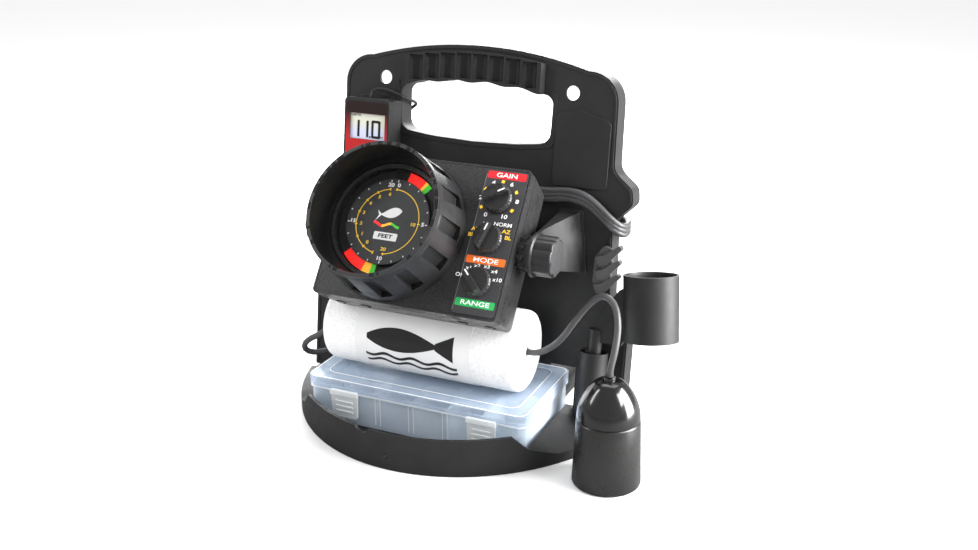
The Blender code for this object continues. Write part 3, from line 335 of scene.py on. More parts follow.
# White and amber inks glow a little: a painted glow that brightens the print in the hood's shade
# and on the overlay, though the print is no lamp.
white_ink_painted_glow = printed("white_ink_painted_glow", (0.90, 0.90, 0.90), glow=0.15)
grey_ink = printed("grey_ink", (0.24, 0.24, 0.25))
amber_ink_painted_glow = printed("amber_ink_painted_glow", (0.95, 0.60, 0.03), glow=0.3)
red_ink = printed("red_ink", (0.72, 0.010, 0.020))
orange_ink = printed("orange_ink", (0.90, 0.16, 0.015))
green_ink = printed("green_ink", (0.02, 0.42, 0.10))
black_ink = printed("black_ink", (0.010, 0.010, 0.011))
flash_red = printed("flash_red", (0.90, 0.012, 0.008), glow=0.9)
flash_amber = printed("flash_amber", (0.95, 0.45, 0.02), glow=0.7)
flash_green = printed("flash_green", (0.05, 0.55, 0.03), glow=0.5)
# The face film runs from red at the foot to near black at the head, and the screen from blue at the
# foot to yellow at the head.
meter_film = graded_label("meter_film", (0.46, 0.008, 0.010), (0.016, 0.006, 0.005), 215, 288)
meter_lcd = graded_label("meter_lcd", (0.62, 0.66, 0.84), (0.68, 0.68, 0.58), 235, 262)


# ---------------------------------------------------------------- shapes

def rounded(corners, steps=10):
    """Turn (x, z, radius) corners into an outline whose corners are arcs."""
    outline = []
    for i, (x, z, radius) in enumerate(corners):
        here = Vector((x, z))
        before = (Vector(corners[i - 1][:2]) - here).normalized()
        after = (Vector(corners[(i + 1) % len(corners)][:2]) - here).normalized()
        half = before.angle(after) / 2
        if radius <= 0 or half > math.radians(89):
            outline.append((x, z))
            continue
        reach = radius / math.tan(half)
        centre = here + (before + after).normalized() * (radius / math.sin(half))
        start = here + before * reach - centre
        turn = start.angle_signed(here + after * reach - centre)
        for k in range(steps + 1):
            point = centre + Matrix.Rotation(-turn * k / steps, 2) @ start
            outline.append((point.x, point.y))
    return outline


def inset(corners, distance):
    """Move the sides of an anticlockwise (x, z, radius) outline inwards by a distance."""
    moved = []
    for i, (x, z, radius) in enumerate(corners):
        here = Vector((x, z))
        before = (here - Vector(corners[i - 1][:2])).normalized()
        after = (Vector(corners[(i + 1) % len(corners)][:2]) - here).normalized()
        inward = Vector((-before.y - after.y, before.x + after.x))
        here += inward * distance / (1 + before.dot(after))
        bend = before.x * after.y - before.y * after.x
        if radius > 0:
            radius = max(0.2, radius - math.copysign(distance, bend))
        moved.append((here.x, here.y, radius))
    return moved


def mirrored(corners):
    """The same outline on the object's left side."""
    return [(-x, z, r) for x, z, r in reversed(corners)]


def box_corners(half_x, low, high, radius, middle_x=0.0):
    return [(middle_x + half_x, low, radius), (middle_x + half_x, high, radius),
            (middle_x - half_x, high, radius), (middle_x - half_x, low, radius)]


def prism(outline, y0, y1):
    shape = bmesh.new()
    face = shape.faces.new([shape.verts.new((x, y0, z)) for x, z in outline])
    made = bmesh.ops.extrude_face_region(shape, geom=[face])["geom"]
    moved = [part for part in made if isinstance(part, bmesh.types.BMVert)]
    bmesh.ops.translate(shape, vec=(0, y1 - y0, 0), verts=moved)
    return shape


def turned(shape, matrix):
    bmesh.ops.transform(shape, matrix=matrix, verts=shape.verts)
    return shape


def slab(outline, z0, z1):
    """Extrude an (x, y) outline from z0 to z1."""
    return turned(prism(outline, -z1, -z0), Matrix.Rotation(-math.pi / 2, 4, "X"))


def block(x0, x1, y0, y1, z0, z1):
    shape = bmesh.new()
    bmesh.ops.create_cube(shape, size=1.0)
    bmesh.ops.scale(shape, vec=(x1 - x0, y1 - y0, z1 - z0), verts=shape.verts)
    middle = ((x0 + x1) / 2, (y0 + y1) / 2, (z0 + z1) / 2)
    bmesh.ops.translate(shape, vec=middle, verts=shape.verts)
    return shape


def lathe(profile, segments=96, axis="Z", centre=(0, 0, 0), radius_of=None):
    """Turn a closed (radius, height) profile; radius_of may vary the radius round the turn."""
    shape = bmesh.new()
    rings = []
    for radius, height in profile:
        count = 1 if radius < 1e-6 else segments
        ring = []
        for k in range(count):
            angle = 2 * math.pi * k / segments
            r = radius_of(radius, height, angle) if radius_of else radius
            ring.append(shape.verts.new((r * math.cos(angle), r * math.sin(angle), height)))
        rings.append(ring)
    for i, ring in enumerate(rings):
        following = rings[(i + 1) % len(rings)]
        for k in range(segments):
            nxt = (k + 1) % segments
            corners = [ring[k % len(ring)], ring[nxt % len(ring)]]
            corners += [following[nxt % len(following)], following[k % len(following)]]
            corners = list(dict.fromkeys(corners))
            if len(corners) > 2:
                shape.faces.new(corners)
    turns = {"X": Matrix.Rotation(math.pi / 2, 4, "Y"), "Z": Matrix.Identity(4),
             "Y": Matrix.Rotation(-math.pi / 2, 4, "X")}
    return turned(shape, Matrix.Translation(centre) @ turns[axis])


def cylinder(radius, low, high, segments=48, axis="Z", centre=(0, 0, 0)):
    return lathe([(0, low), (radius, low), (radius, high), (0, high)], segments, axis, centre)


def skinned(rings, closed=False):
    """Skin equal-length rings of points; the ends get caps unless the last meets the first."""
    shape = bmesh.new()
    rings = [[shape.verts.new(point) for point in ring] for ring in rings]
    after = rings[1:] + rings[:1] if closed else rings[1:]
    for ring, following in zip(rings, after):
        for k in range(len(ring)):
            nxt = (k + 1) % len(ring)
            shape.faces.new((ring[k], ring[nxt], following[nxt], following[k]))
    if not closed:
        shape.faces.new(rings[0])
        shape.faces.new(rings[-1])
    return shape


def loft(sections):
    """Skin equal-length (outline, y) sections into one closed solid."""
    return skinned([[(x, y, z) for x, z in outline] for outline, y in sections])


def smooth_route(points, spacing, closed=False):
    """Evenly spaced points on a Catmull-Rom curve through the route's points."""
    points = [Vector(p) for p in points]
    count = len(points) if closed else len(points) - 1
    fine = []
    for i in range(count):
        if closed:
            a, b, c, d = (points[(i + k) % len(points)] for k in (-1, 0, 1, 2))
        else:
            a, b = points[max(i - 1, 0)], points[i]
            c, d = points[i + 1], points[min(i + 2, count)]
        for k in range(16):
            t = k / 16
            fine.append(0.5 * (2 * b + (c - a) * t + (2 * a - 5 * b + 4 * c - d) * t * t
                               + (3 * b - a - 3 * c + d) * t ** 3))
    fine.append(points[0] if closed else points[-1])
    total = sum((q - p).length for p, q in zip(fine, fine[1:]))
    step = total / max(1, round(total / spacing))
    chosen, run, want = [fine[0]], 0.0, step
    for p, q in zip(fine, fine[1:]):
        length = (q - p).length
        while run + length >= want - 1e-6:
            chosen.append(p.lerp(q, min(1.0, (want - run) / length)))
            want += step
        run += length
    return chosen[:-1] if closed else chosen


# ---------------------------------------------------------------- pieces

def in_scene(name, data):
    made = bpy.data.objects.new(name, data)
    bpy.context.scene.collection.objects.link(made)
    return made


def as_object(name, shape, matrix):
    bmesh.ops.recalc_face_normals(shape, faces=shape.faces)
    if shape.calc_volume(signed=True) < 0:
        bmesh.ops.reverse_faces(shape, faces=shape.faces)
    turned(shape, Matrix.Scale(MM, 4) @ matrix)
    mesh = bpy.data.meshes.new(name)
    shape.to_mesh(mesh)
    shape.free()
    return in_scene(name, mesh)


def minus(shape):
    return "DIFFERENCE", shape


def plus(shape):
    return "UNION", shape


def through(radius, x0, x1, segments, centre=(0, 0, 0)):
    """A round bar along X between two values of x, in either order."""
    return cylinder(radius, *sorted((x0, x1)), segments, "X", centre)


def paint(made, look):
    made.data.materials.clear()
    made.data.materials.append(look)


def baked(target, steps, matrix):
    """Apply a list of (operation, shape) Booleans to the target's mesh."""
    tools = []
    for operation, shape in steps:
        made = as_object("tool", shape, matrix)
        modifier = target.modifiers.new("shape", "BOOLEAN")
        modifier.operation = operation
        modifier.solver = "MANIFOLD"
        modifier.object = made
        tools.append(made)
    weld = target.modifiers.new("weld", "WELD")
    weld.merge_threshold = 0.02 * MM
    graph = bpy.context.evaluated_depsgraph_get()
    mesh = bpy.data.meshes.new_from_object(target.evaluated_get(graph))
    target.modifiers.clear()
    target.data = mesh
    for made in tools:
        bpy.data.objects.remove(made, do_unlink=True)


def piece(name, shape, look, body, nodes=(), at=WORLD, steps=(), bevel=0.6, smooth=35):
    """A shown piece: its shape in the frame at, its Booleans, soft edges, look and body."""
    made = as_object(name, shape, at)
    if steps:
        baked(made, steps, at)
    paint(made, look)
    made.data.shade_smooth()
    made.data.set_sharp_from_angle(angle=math.radians(smooth))
    if bevel:
        soften(made, bevel)
    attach(made, body)
    if nodes:
        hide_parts(*nodes)
    return made


def soften(made, width):
    edge = made.modifiers.new("soft_edges", "BEVEL")
    edge.width = width * MM
    edge.segments = 2
    edge.limit_method = "ANGLE"
    edge.angle_limit = math.radians(38)
    edge.use_clamp_overlap = True
    normals = made.modifiers.new("even_shading", "WEIGHTED_NORMAL")
    normals.keep_sharp = False


def dress(look, *names, bevel=0.3):
    """Give CAD nodes whose shape is right a finished material and soft edges."""
    for name in names:
        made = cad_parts[name]
        paint(made, look)
        if bevel:
            soften(made, bevel)


def flat_print(name, shape, look, body="head", at=HEAD):
    """A thin print on the head, or on the given body and in the given frame."""
    piece(name, shape, look, body, (), at, bevel=0)


def lettering(name, words, size, look, spot, front, wide=1.25, bold=0.02, body="head", at=HEAD):
    """Flat raised print, centred at the (x, z) spot in the frame at, facing -Y."""
    text = bpy.data.curves.new(name, "FONT")
    text.body = words
    text.size = size
    text.align_x = "CENTER"
    text.align_y = "CENTER"
    text.offset = bold * size
    text.extrude = 0.04
    holder = in_scene(name, text)
    graph = bpy.context.evaluated_depsgraph_get()
    mesh = bpy.data.meshes.new_from_object(holder.evaluated_get(graph))
    bpy.data.objects.remove(holder, do_unlink=True)
    stand = Matrix.Rotation(math.pi / 2, 4, "X") @ Matrix.Diagonal((wide, 1, 1, 1))
    spot = Matrix.Translation((spot[0], front, spot[1]))
    mesh.transform(Matrix.Scale(MM, 4) @ at @ spot @ stand)
    made = in_scene(name, mesh)
    paint(made, look)
    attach(made, body)


def clock_point(centre, radius, clock):
    angle = math.radians(clock)
    return centre.x + radius * math.sin(angle), centre.z + radius * math.cos(angle)


def arc_band(inner, outer, start, end, y0, y1, centre):
    """A flat ring sector between two clock angles."""
    count = max(2, round((end - start) / 3))
    outline = []
    for k in range(count + 1):
        outline.append(clock_point(centre, outer, start + (end - start) * k / count))
    for k in range(count + 1):
        outline.append(clock_point(centre, inner, end - (end - start) * k / count))
    return prism(outline, y0, y1)


def merged(shapes):
    """Put several loose shapes in one mesh."""
    whole = bmesh.new()
    for shape in shapes:
        mesh = bpy.data.meshes.new("part")
        shape.to_mesh(mesh)
        shape.free()
        whole.from_mesh(mesh)
        bpy.data.meshes.remove(mesh)
    return whole


# ---------------------------------------------------------------- camera, light and floor

def make_camera():
    camera = in_scene("camera", bpy.data.cameras.new("camera"))
    camera.location = (0.42885, -0.85997, 0.48726)
    camera.rotation_euler = (math.radians(90 - 20.24), 0, math.radians(24.28))
    camera.data.lens = 42.79
    camera.data.sensor_width = 36
    camera.data.clip_start = 0.01
    bpy.context.scene.camera = camera


def make_lamp(name, spot, target, size, power):
    light = bpy.data.lights.new(name, "AREA")
    light.shape = "RECTANGLE"
    light.size, light.size_y = size
    light.energy = power
    lamp = in_scene(name, light)
    lamp.location = spot
    aim = Vector(target) - Vector(spot)
    lamp.rotation_euler = aim.to_track_quat("-Z", "Y").to_euler()


def dimmed(tree, seen, reflected):
    """One value to the eye and another in reflections."""
    glossy = node(tree, "ShaderNodeLightPath").outputs["Is Glossy Ray"]
    return mapped(tree, glossy, (0.0, 1.0), seen, reflected)


def floor_white():
    """White to the eye, dim in reflections, so dark parts keep their depth."""
    made, tree, shader = shader_of("floor_white")
    feed(tree, shader, {"Base Color": dimmed(tree, 0.92, 0.22), "Roughness": 0.9})
    return made


def make_studio():
    bpy.context.scene.view_settings.view_transform = "Standard"
    world = bpy.data.worlds.new("studio")
    world.use_nodes = True
    tree = world.node_tree
    feed(tree, tree.nodes["Background"], {"Color": (1, 1, 1, 1),
                                          "Strength": dimmed(tree, 1.0, 0.45)})
    bpy.context.scene.world = world
    floor = as_object("floor", block(-20000, 20000, -20000, 20000, -10, -0.4), WORLD)
    floor.data.materials.append(floor_white())
    make_lamp("right_side", (1.2, 0.25, 0.45), (0.05, 0, 0.17), (0.7, 1.1), 62)
    make_lamp("overhead", (0.0, 0.45, 1.5), (0, 0, 0.15), (1.4, 0.8), 9)
    make_lamp("right_front", (1.1, -0.25, 0.75), (0.05, 0, 0.17), (0.25, 0.5), 7)
    make_lamp("back_low", (-0.55, 1.3, 0.66), (0, 0, 0.2), (1.6, 0.45), 34)
    make_lamp("left_window", (-1.1, -0.6, 0.9), (-0.05, 0, 0.15), (0.25, 0.9), 7)


# ---------------------------------------------------------------- cables

def strand(name, points, diameter, look):
    curve = bpy.data.curves.new(name, "CURVE")
    curve.dimensions = "3D"
    curve.bevel_depth = diameter / 2 * MM
    curve.bevel_resolution = 5
    curve.use_fill_caps = True
    line = curve.splines.new("POLY")
    line.points.add(len(points) - 1)
    for target, point in zip(line.points, points):
        target.co = (*(Vector(point) * MM), 1.0)
    curve.materials.append(look)
    return in_scene(name, curve)


def winding_points():
    """Three turns round the panel's waist, lying side by side, from foot to top strand."""
    half = WINDING_HALF_ROUTE
    ring = half + [(-x, y, z) for x, y, z in reversed(half[1:-1])]
    path = smooth_route(ring, 8.0, closed=True)[::-1]
    start = min(range(len(path)), key=lambda k: (path[k] - Vector((-62, 45, 203))).length)
    count = len(path)
    points = []
    for k in range(count * TURNS + 1):
        here = path[(start + k) % count]
        lift = STRAND_PITCH * (k / count - TURNS / 2) * (TURNS - 1) / TURNS
        points.append(here + Vector((0, 0, lift)))
    return points


def make_cables():
    lead_in = smooth_route(CABLE_ROUTE, 5.0)
    points = smooth_route(lead_in + winding_points()[1:], 5.0)
    cable = strand("transducer_cable_run", points, CABLE_D, cable_grey)
    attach(cable, "pack")
    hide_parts("transducer_cable", "cable_winding")
    tail = smooth_route(TAIL_ROUTE, 4.0)
    drawn = strand("cable_to_head_line", tail, CABLE_D, cable_grey)
    mesh = bpy.data.meshes.new_from_object(drawn)
    bpy.data.objects.remove(drawn)
    end = in_scene("cable_to_head", mesh)
    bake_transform(end)
    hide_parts("cable_tail")


# ---------------------------------------------------------------- case panel and base

def top_edge(x):
    """Height of the panel's arched top edge."""
    return PANEL_TOP - TOP_ARC_RADIUS + math.sqrt(TOP_ARC_RADIUS ** 2 - x ** 2)


def panel_corners():
    foot = [(PANEL_LOW_HALF, PANEL_BOTTOM, 2), (PANEL_LOW_HALF, 101, 16), (138, 119, 12)]
    right = foot + [(WAIST_HALF, 187, 5), (152, 203.5, 8), (150.5, 216.5, 8), (133, 231, 14),
                    (131.5, 311.5, 26)]
    left = [(-131.5, 311.5, 26), (-131, 224, 12), (-140, 206, 8), (1 - WAIST_HALF, 187, 5)]
    left += mirrored(foot)
    arc = []
    for k in range(21):
        x = TOP_ARC_HALF * (1 - k / 10)
        arc.append((x, top_edge(x), 0))
    return right + arc + left


def opening_top(x):
    return OPENING_HIGH - PANEL_TOP + top_edge(x)


def opening_corners(wave):
    """The carry opening; its top edge has finger waves of the given height."""
    right = [(40, OPENING_LOW + 1.3, 60), (OPENING_HALF, 248.3, 11)]
    left = mirrored(right)
    top = []
    for k in range(65):
        x = 64 - 2 * k
        lift = -wave * math.cos(math.pi * (x - GRIP_X) / GRIP_PITCH)
        top.append((x, opening_top(x) + lift, 0))
    side = OPENING_HALF + 0.9
    right.append((side, opening_top(OPENING_HALF), 8.5))
    left.insert(0, (-side, opening_top(OPENING_HALF), 8.5))
    return [(0, OPENING_LOW, 0)] + right + top + left


def grip_outline(half):
    low = OPENING_LOW + 30
    outline = [(GRIP_X + half, low)]
    for k in range(21):
        x = GRIP_X + half * (1 - k / 10)
        outline.append((x, top_edge(x) - GRIP_TOP_GAP))
    return outline + [(GRIP_X - half, low)]


def plaque_corners(side):
    corners = [(77, 213, 5), (127.5, 213, 5), (127.5, 272, 6), (104, 278.5, 3), (99.5, 280.5, 1),
               (95, 278.5, 3), (77, 275.5, 7)]
    return corners if side > 0 else mirrored(corners)


def make_case_panel():
    outline = panel_corners()
    opening = opening_corners(GRIP_WAVE)
    wall = rounded(inset(opening_corners(0), -SKIN))
    steps = [minus(prism(rounded(inset(outline, SKIN)), SKIN, PANEL_DEPTH + 1)),
             plus(prism(wall, SKIN - 1, PANEL_DEPTH - 0.5))]
    hole_x, hole_z, radius = HANG_HOLE
    for side in (-1, 1):
        for x in (30, 118):
            rib = block(side * x - 1, side * x + 1, SKIN - 1, 13, 60, 236)
            steps.append(plus(rib))
        at = (side * hole_x, 0, hole_z)
        steps.append(minus(cylinder(radius, -2, PANEL_DEPTH + 2, 48, "Y", at)))
    half = GRIP_PITCH * GRIP_SCALLOPS / 2 + 3
    grip = loft([(grip_outline(half + 2), SKIN - 1), (grip_outline(half), -GRIP_PROUD)])
    steps.append(plus(grip))
    for k in range(GRIP_SCALLOPS):
        x = GRIP_X + (k - (GRIP_SCALLOPS - 1) / 2) * GRIP_PITCH
        low, high = opening_top(x) + 2.4, top_edge(x) - GRIP_TOP_GAP - 1.5
        groove = cylinder(GROOVE_R, low, high, 48, "Z", (x, -GRIP_PROUD - 1, 0))
        steps.append(minus(groove))
    steps.append(minus(prism(rounded(opening), -GRIP_PROUD - 2, PANEL_DEPTH + 2)))
    window = (-WINDOW_HALF, WINDOW_HALF, -2, PANEL_DEPTH + 2, 0, WINDOW_TOP)
    steps.append(minus(block(*window)))
    piece("case_panel_shell", prism(rounded(outline), 0, PANEL_DEPTH), case_black, "pack",
          ["case_panel"], PANEL, steps, bevel=0.7)
    bead = prism(rounded(inset(outline, 1.4)), -0.7, 0.4)
    steps = [minus(prism(rounded(inset(outline, 3.4)), -2, 1)),
             minus(block(-WINDOW_HALF, WINDOW_HALF, -2, 2, 0, WINDOW_TOP))]
    piece("panel_edge_bead", bead, case_black, "pack", (), PANEL, steps, bevel=0.3)
    plain = opening_corners(0)
    rim = prism(rounded(inset(plain, -4.2)), -0.8, 0.4)
    under_grip = block(GRIP_X - half - 8, GRIP_X + half + 8, -3, 2, OPENING_HIGH - 14, PANEL_TOP)
    steps = [minus(prism(rounded(inset(plain, -0.4)), -2, 1)), minus(under_grip)]
    piece("opening_rim", rim, case_black, "pack", (), PANEL, steps, bevel=0.4)
    for label, side in SIDES:
        plate = prism(rounded(plaque_corners(side)), -1.3, 0.4)
        piece(f"plaque_{label}", plate, case_black, "pack", (), PANEL, bevel=0.8)


def base_rim_path():
    start = math.acos(PANEL_LOW_HALF / BASE_A)
    path = []
    for k in range(RIM_STEPS + 1):
        angle = -start - (math.pi - 2 * start) * k / RIM_STEPS
        path.append((BASE_A * math.cos(angle), BASE_CENTRE_Y + BASE_B * math.sin(angle)))
    return path


def rim_height(x):
    x = abs(x)
    runs = ((0, LIP_TOP, 98, LIP_TOP), (98, LIP_TOP, 108, WING_Z), (108, WING_Z, 127, RIM_Z))
    for x0, z0, x1, z1 in runs:
        if x <= x1:
            return z0 + (z1 - z0) * (x - x0) / (x1 - x0)
    return RIM_Z


def rim_shape():
    rings = []
    for x, y in base_rim_path():
        side = 1 if x > 0 else -1
        inner_x, inner_y = x * (1 - WALL / BASE_A), y + WALL * (BASE_CENTRE_Y - y) / BASE_B
        inner_z = rim_height(x)
        if abs(inner_x) > WING_X:
            inner_x, inner_z = side * WING_X, WING_Z
        rings.append([(x, y, FLOOR - 2), (x, y, rim_height(x)), (inner_x, inner_y, inner_z),
                      (inner_x, inner_y, FLOOR - 2)])
    shape = skinned(rings)
    bmesh.ops.triangulate(shape, faces=[f for f in shape.faces if len(f.verts) > 3])
    return shape


def make_base_pan():
    outline = base_rim_path()[::-1]
    back = [(PANEL_LOW_HALF, PAN_BACK), (SHELF_HALF, PAN_BACK), (SHELF_HALF, SHELF_BACK)]
    outline += back + [(-x, y) for x, y in reversed(back)]
    front = BASE_CENTRE_Y - BASE_B
    steps = [plus(rim_shape()), minus(cylinder(2.6, front - 5, front + 10, 32, "Y", (0, 0, 12))),
             minus(cylinder(7.5, front - 8, front + 18, 40, "Y", (-24, 0, LIP_TOP + 3)))]
    for side in (-1, 1):
        profile = [(0, -1), (4.6, -1), (4.6, 1.2), (2.4, 3.4), (2.4, 9), (0, 9)]
        steps.append(minus(lathe(profile, 24, "Z", (side * 135.0, PANEL_FOOT_Y + 14, 0))))
    piece("base_pan_shell", slab(outline, 0, FLOOR), case_black, "pack", ["base_pan"], WORLD,
          steps, bevel=0.6)


def panel_point(y, z):
    lean = math.atan(PANEL_SLOPE)
    dy = y - PANEL_FOOT_Y
    return dy * math.cos(lean) - z * math.sin(lean), dy * math.sin(lean) + z * math.cos(lean)


def make_yoke_arm(label, side):
    tip_y, tip_z = panel_point(*TILT_AXIS)
    low, high = ARM_ROOT_Z
    inner_root, top_root, low_root = ARM_ROOT_X
    radius = ARM_BOSS_R - 0.4
    share = ARM_STRAIGHT / -tip_y
    sections = []
    for part in (0.0, share, 0.5, 0.75, 1.0):
        grow = max(0.0, (part - share) / (1 - share)) ** 1.12
        z0 = tip_z - radius + (low - tip_z + radius) * part
        z1 = tip_z + radius + (high - tip_z - radius) * part
        inner = ARM_INNER_X + (inner_root - ARM_INNER_X) * grow
        outer_low = ARM_TIP_X + (low_root - ARM_TIP_X) * grow
        outer_high = ARM_TIP_X + (top_root - ARM_TIP_X) * grow
        outline = [(inner, z0), (outer_low, z0), (outer_high, z1), (inner, z1)]
        y = tip_y + (-GAP - tip_y) * part
        sections.append(([(side * x, z) for x, z in outline], y))
    flange = [(inner_root - 1.5, low - 1.5, 2), (low_root + 2, low - 1.5, 3),
              (top_root + 2, high + 1.5, 3), (inner_root - 1.5, high + 1.5, 2)]
    if side < 0:
        flange = mirrored(flange)
    tip = (0, tip_y, tip_z)
    boss = through(ARM_BOSS_R, side * ARM_INNER_X, side * ARM_BOSS_X, 64, tip)
    hole = through(STUD_HOLE_R, side * 86, side * 99, 32, tip)
    steps = [plus(prism(rounded(flange), -2.0, -GAP)), plus(boss), minus(hole)]
    piece(f"arm_{label}", loft(sections), arm_black, "pack", [f"yoke_arm_{label}"], PANEL, steps,
          bevel=0.9)


def make_line_comb():
    corners = [(126, 129, 3), (138.4, 134, 2), (139, 164, 3), (131, 167, 3), (123.6, 156, 4),
               (123, 135, 4)]
    steps = []
    for k in range(3):
        z = 131.0 + 12.4 * k
        fin = [(128, z - 6, 0), (134.5, z - 5, 1), (148.0, z + 10.5, 1.6), (145.2, z + 13.2, 1.6),
               (132, z + 3.5, 0), (124.5, z + 1, 0)]
        steps.append(plus(prism(rounded(fin, 4), -8.6, -1.2)))
    slot = [(126, 137, 1), (130, 139, 1), (130, 158, 1), (126, 156, 1)]
    steps.append(minus(prism(rounded(slot, 3), -7, -5.2)))
    piece("comb", prism(rounded(corners), -6.3, -0.3), comb_grey, "pack", ["line_comb"], PANEL,
          steps, bevel=0.5)


def make_rod_holder():
    bore = PIN_R + 0.35
    profile = [(bore, -57), (SOCKET_R, -57), (SOCKET_R, 0), (10.8, 0), (10.8, -3.2), (bore, -3.2)]
    piece("rod_socket_tube", lathe(profile, 64), case_black, "pack", ["rod_socket"], ROD,
          bevel=0.5)
    web = [(-6, 9, 0), (24, 9, 0), (26, 14, 0), (26, 58.5, 2), (19, 58.5, 5), (11, 47, 3),
           (-2, 20, 3), (-6, 14, 2)]
    tilt = Matrix.Rotation(math.radians(-CUP_TILT), 4, "Y")
    lean = Matrix.Translation((CUP_X, 0, CUP_Z)) @ tilt
    half = CUP_HALF
    cup = turned(cylinder(CUP_R, -half, half, 96), lean)
    mouth = CUP_BORE + 1.1
    bore = [(0, -half + 3.5), (CUP_BORE - 0.3, -half + 3.5), (CUP_BORE, half - 3),
            (mouth, half + 0.2), (mouth, half + 4), (0, half + 4)]
    steps = [plus(prism(rounded(web), -2.6, 2.6)), plus(cup), minus(turned(lathe(bore, 96), lean)),
             minus(turned(cylinder(6, -half - 5, 0, 40), lean))]
    piece("rod_cup", cylinder(PIN_R, -40, 20, 48), case_black, "rod_holder", ["rod_holder"], ROD,
          steps, bevel=0.7)


# ---------------------------------------------------------------- flasher head

def frame_ring(corners, width, y0, y1):
    """A closed rectangular ring with square section, as thick as width."""
    outer = rounded(corners)
    inner = rounded(inset(corners, width))
    rings = []
    for outline, y in ((outer, y0), (outer, y1), (inner, y1), (inner, y0)):
        rings.append([(x, y, z) for x, z in outline])
    return skinned(rings, closed=True)


def make_head():
    corners = box_corners(HEAD_HALF, HEAD_LOW, HEAD_HIGH, 4)
    inner = rounded(inset(corners, SHELL))
    at = tuple(DIAL)
    steps = [minus(prism(inner, FACE_Y + 3, BEZEL_BACK + 2)),
             plus(cylinder(TURRET_OUT, TURRET_FRONT, FACE_Y + 2, 96, "Y", at)),
             minus(cylinder(TURRET_IN, TURRET_FRONT - 2, FACE_Y + 6, 96, "Y", at))]
    rim = frame_ring(inset(corners, 1.6), 0.5, FACE_Y - 1, FACE_Y + 0.4)
    steps.append(minus(rim))
    for z in CONTROL_Z.values():
        hole = cylinder(4.0, FACE_Y - 3, FACE_Y + 6, 24, "Y", (CONTROL_X, 0, z))
        steps.append(minus(hole))
    bezel = piece("bezel", prism(rounded(corners), FACE_Y, BEZEL_BACK), head_black, "head",
                  ["head_bezel"], HEAD, steps, bevel=1.3)
    bezel.data.materials.append(face_black)
    forward = (HEAD.to_3x3() @ Vector((0, -1, 0))).normalized()
    for face in bezel.data.polygons:
        if face.normal.dot(forward) > 0.9:
            face.material_index = 1
    for k, x in enumerate((-CLIP_X, CLIP_X)):
        low = HEAD_LOW + 0.7
        clip = []
        for foot in (x - 15, x + 9):
            clip.append(plus(block(foot, foot + 6, 2.5, 9.5, low - 0.4, low + 1)))
        tongue = block(x - 15.6, x + 15.6, 2, 10, low + 0.4, low + 2)
        piece(f"bezel_clip_{k + 1}", tongue, knob_black, "head", (), HEAD, clip, bevel=0.3)
    rear = box_corners(HEAD_HALF - SHELL, HEAD_LOW + 3, HEAD_HIGH - 3, 4)
    plate = box_corners(68, -45, 45, 6)
    hollow = loft([(inner, HOUSING_FRONT - 2), (rounded(inset(rear, SHELL)), HOUSING_BACK - SHELL)])
    steps = [plus(prism(rounded(plate), HOUSING_BACK - 2, 33)), minus(hollow),
             minus(prism(rounded(inset(plate, SHELL)), HOUSING_BACK - 6, 33 - SHELL))]
    for side in (-1, 1):
        steps += [plus(through(9, side * 72.0, side * 82.1, 40)),
                  minus(through(STUD_HOLE_R, side * 70.0, side * 89.5, 32))]
    for x in (-SOCKET_X, SOCKET_X):
        steps.append(minus(cylinder(7.3, 15, 37, 40, "Y", (x, 0, 0))))
    for z in (-30, -20, 20, 30):
        groove = block(-60, 60, 32.2, 34, z - 1, z + 1)
        steps.append(minus(groove))
    for x in (-CLIP_X, CLIP_X):
        recess = block(x - 16.5, x + 16.5, 1, 11, HEAD_LOW - 2, HEAD_LOW + 2.6)
        steps.append(minus(recess))
    body = loft([(rounded(corners), HOUSING_FRONT), (rounded(rear), HOUSING_BACK)])
    piece("housing", body, head_black, "head", ["head_housing"], HEAD, steps, bevel=0.9)


def make_hood():
    outer = TURRET_OUT + 0.4
    rear, nose = HOOD_REAR_R + 0.6, HOOD_FRONT_R + 1.0
    profile = [(outer, FACE_Y - 0.3), (rear, FACE_Y - 0.3), (rear, FACE_Y - 5),
               (rear - 0.6, FACE_Y - 7), (nose + 0.6, HOOD_FRONT + 6), (nose, HOOD_FRONT + 5),
               (nose, HOOD_FRONT), (54.9, HOOD_FRONT), (54.0, HOOD_FRONT + 3), (outer,
                                                                                TURRET_FRONT - 1)]
    steps = []
    tilt = Matrix.Rotation(math.radians(13), 4, "Y") @ Matrix.Rotation(math.radians(3), 4, "Z")
    out = Matrix.Translation((0, -46.0, 57.2)) @ Matrix.Rotation(math.radians(1), 4, "X")
    for k in range(HOOD_SLOTS):
        turn = Matrix.Rotation(2 * math.pi * (k + 0.5) / HOOD_SLOTS, 4, "Y")
        slot = turned(block(-5.8, 5.8, -17.5, 15, 0, 14), tilt)
        steps.append(minus(turned(slot, Matrix.Translation(DIAL) @ turn @ out)))
    hood = piece("hood", lathe(profile, 168, "Y", tuple(DIAL)), hood_black, "sun_hood",
                 ["sun_hood"], HEAD, steps, bevel=0.6)
    # Faces that look into the bore get the darker material: painted shade inside the hood.
    hood.data.materials.append(hood_bore_painted_shade)
    centre = (HEAD @ DIAL) * MM
    axis = (HEAD.to_3x3() @ Vector((0, 1, 0))).normalized()
    for face in hood.data.polygons:
        away = face.center - centre
        spoke = away - axis * away.dot(axis)
        if face.normal.dot(spoke) < 0:
            face.material_index = 1


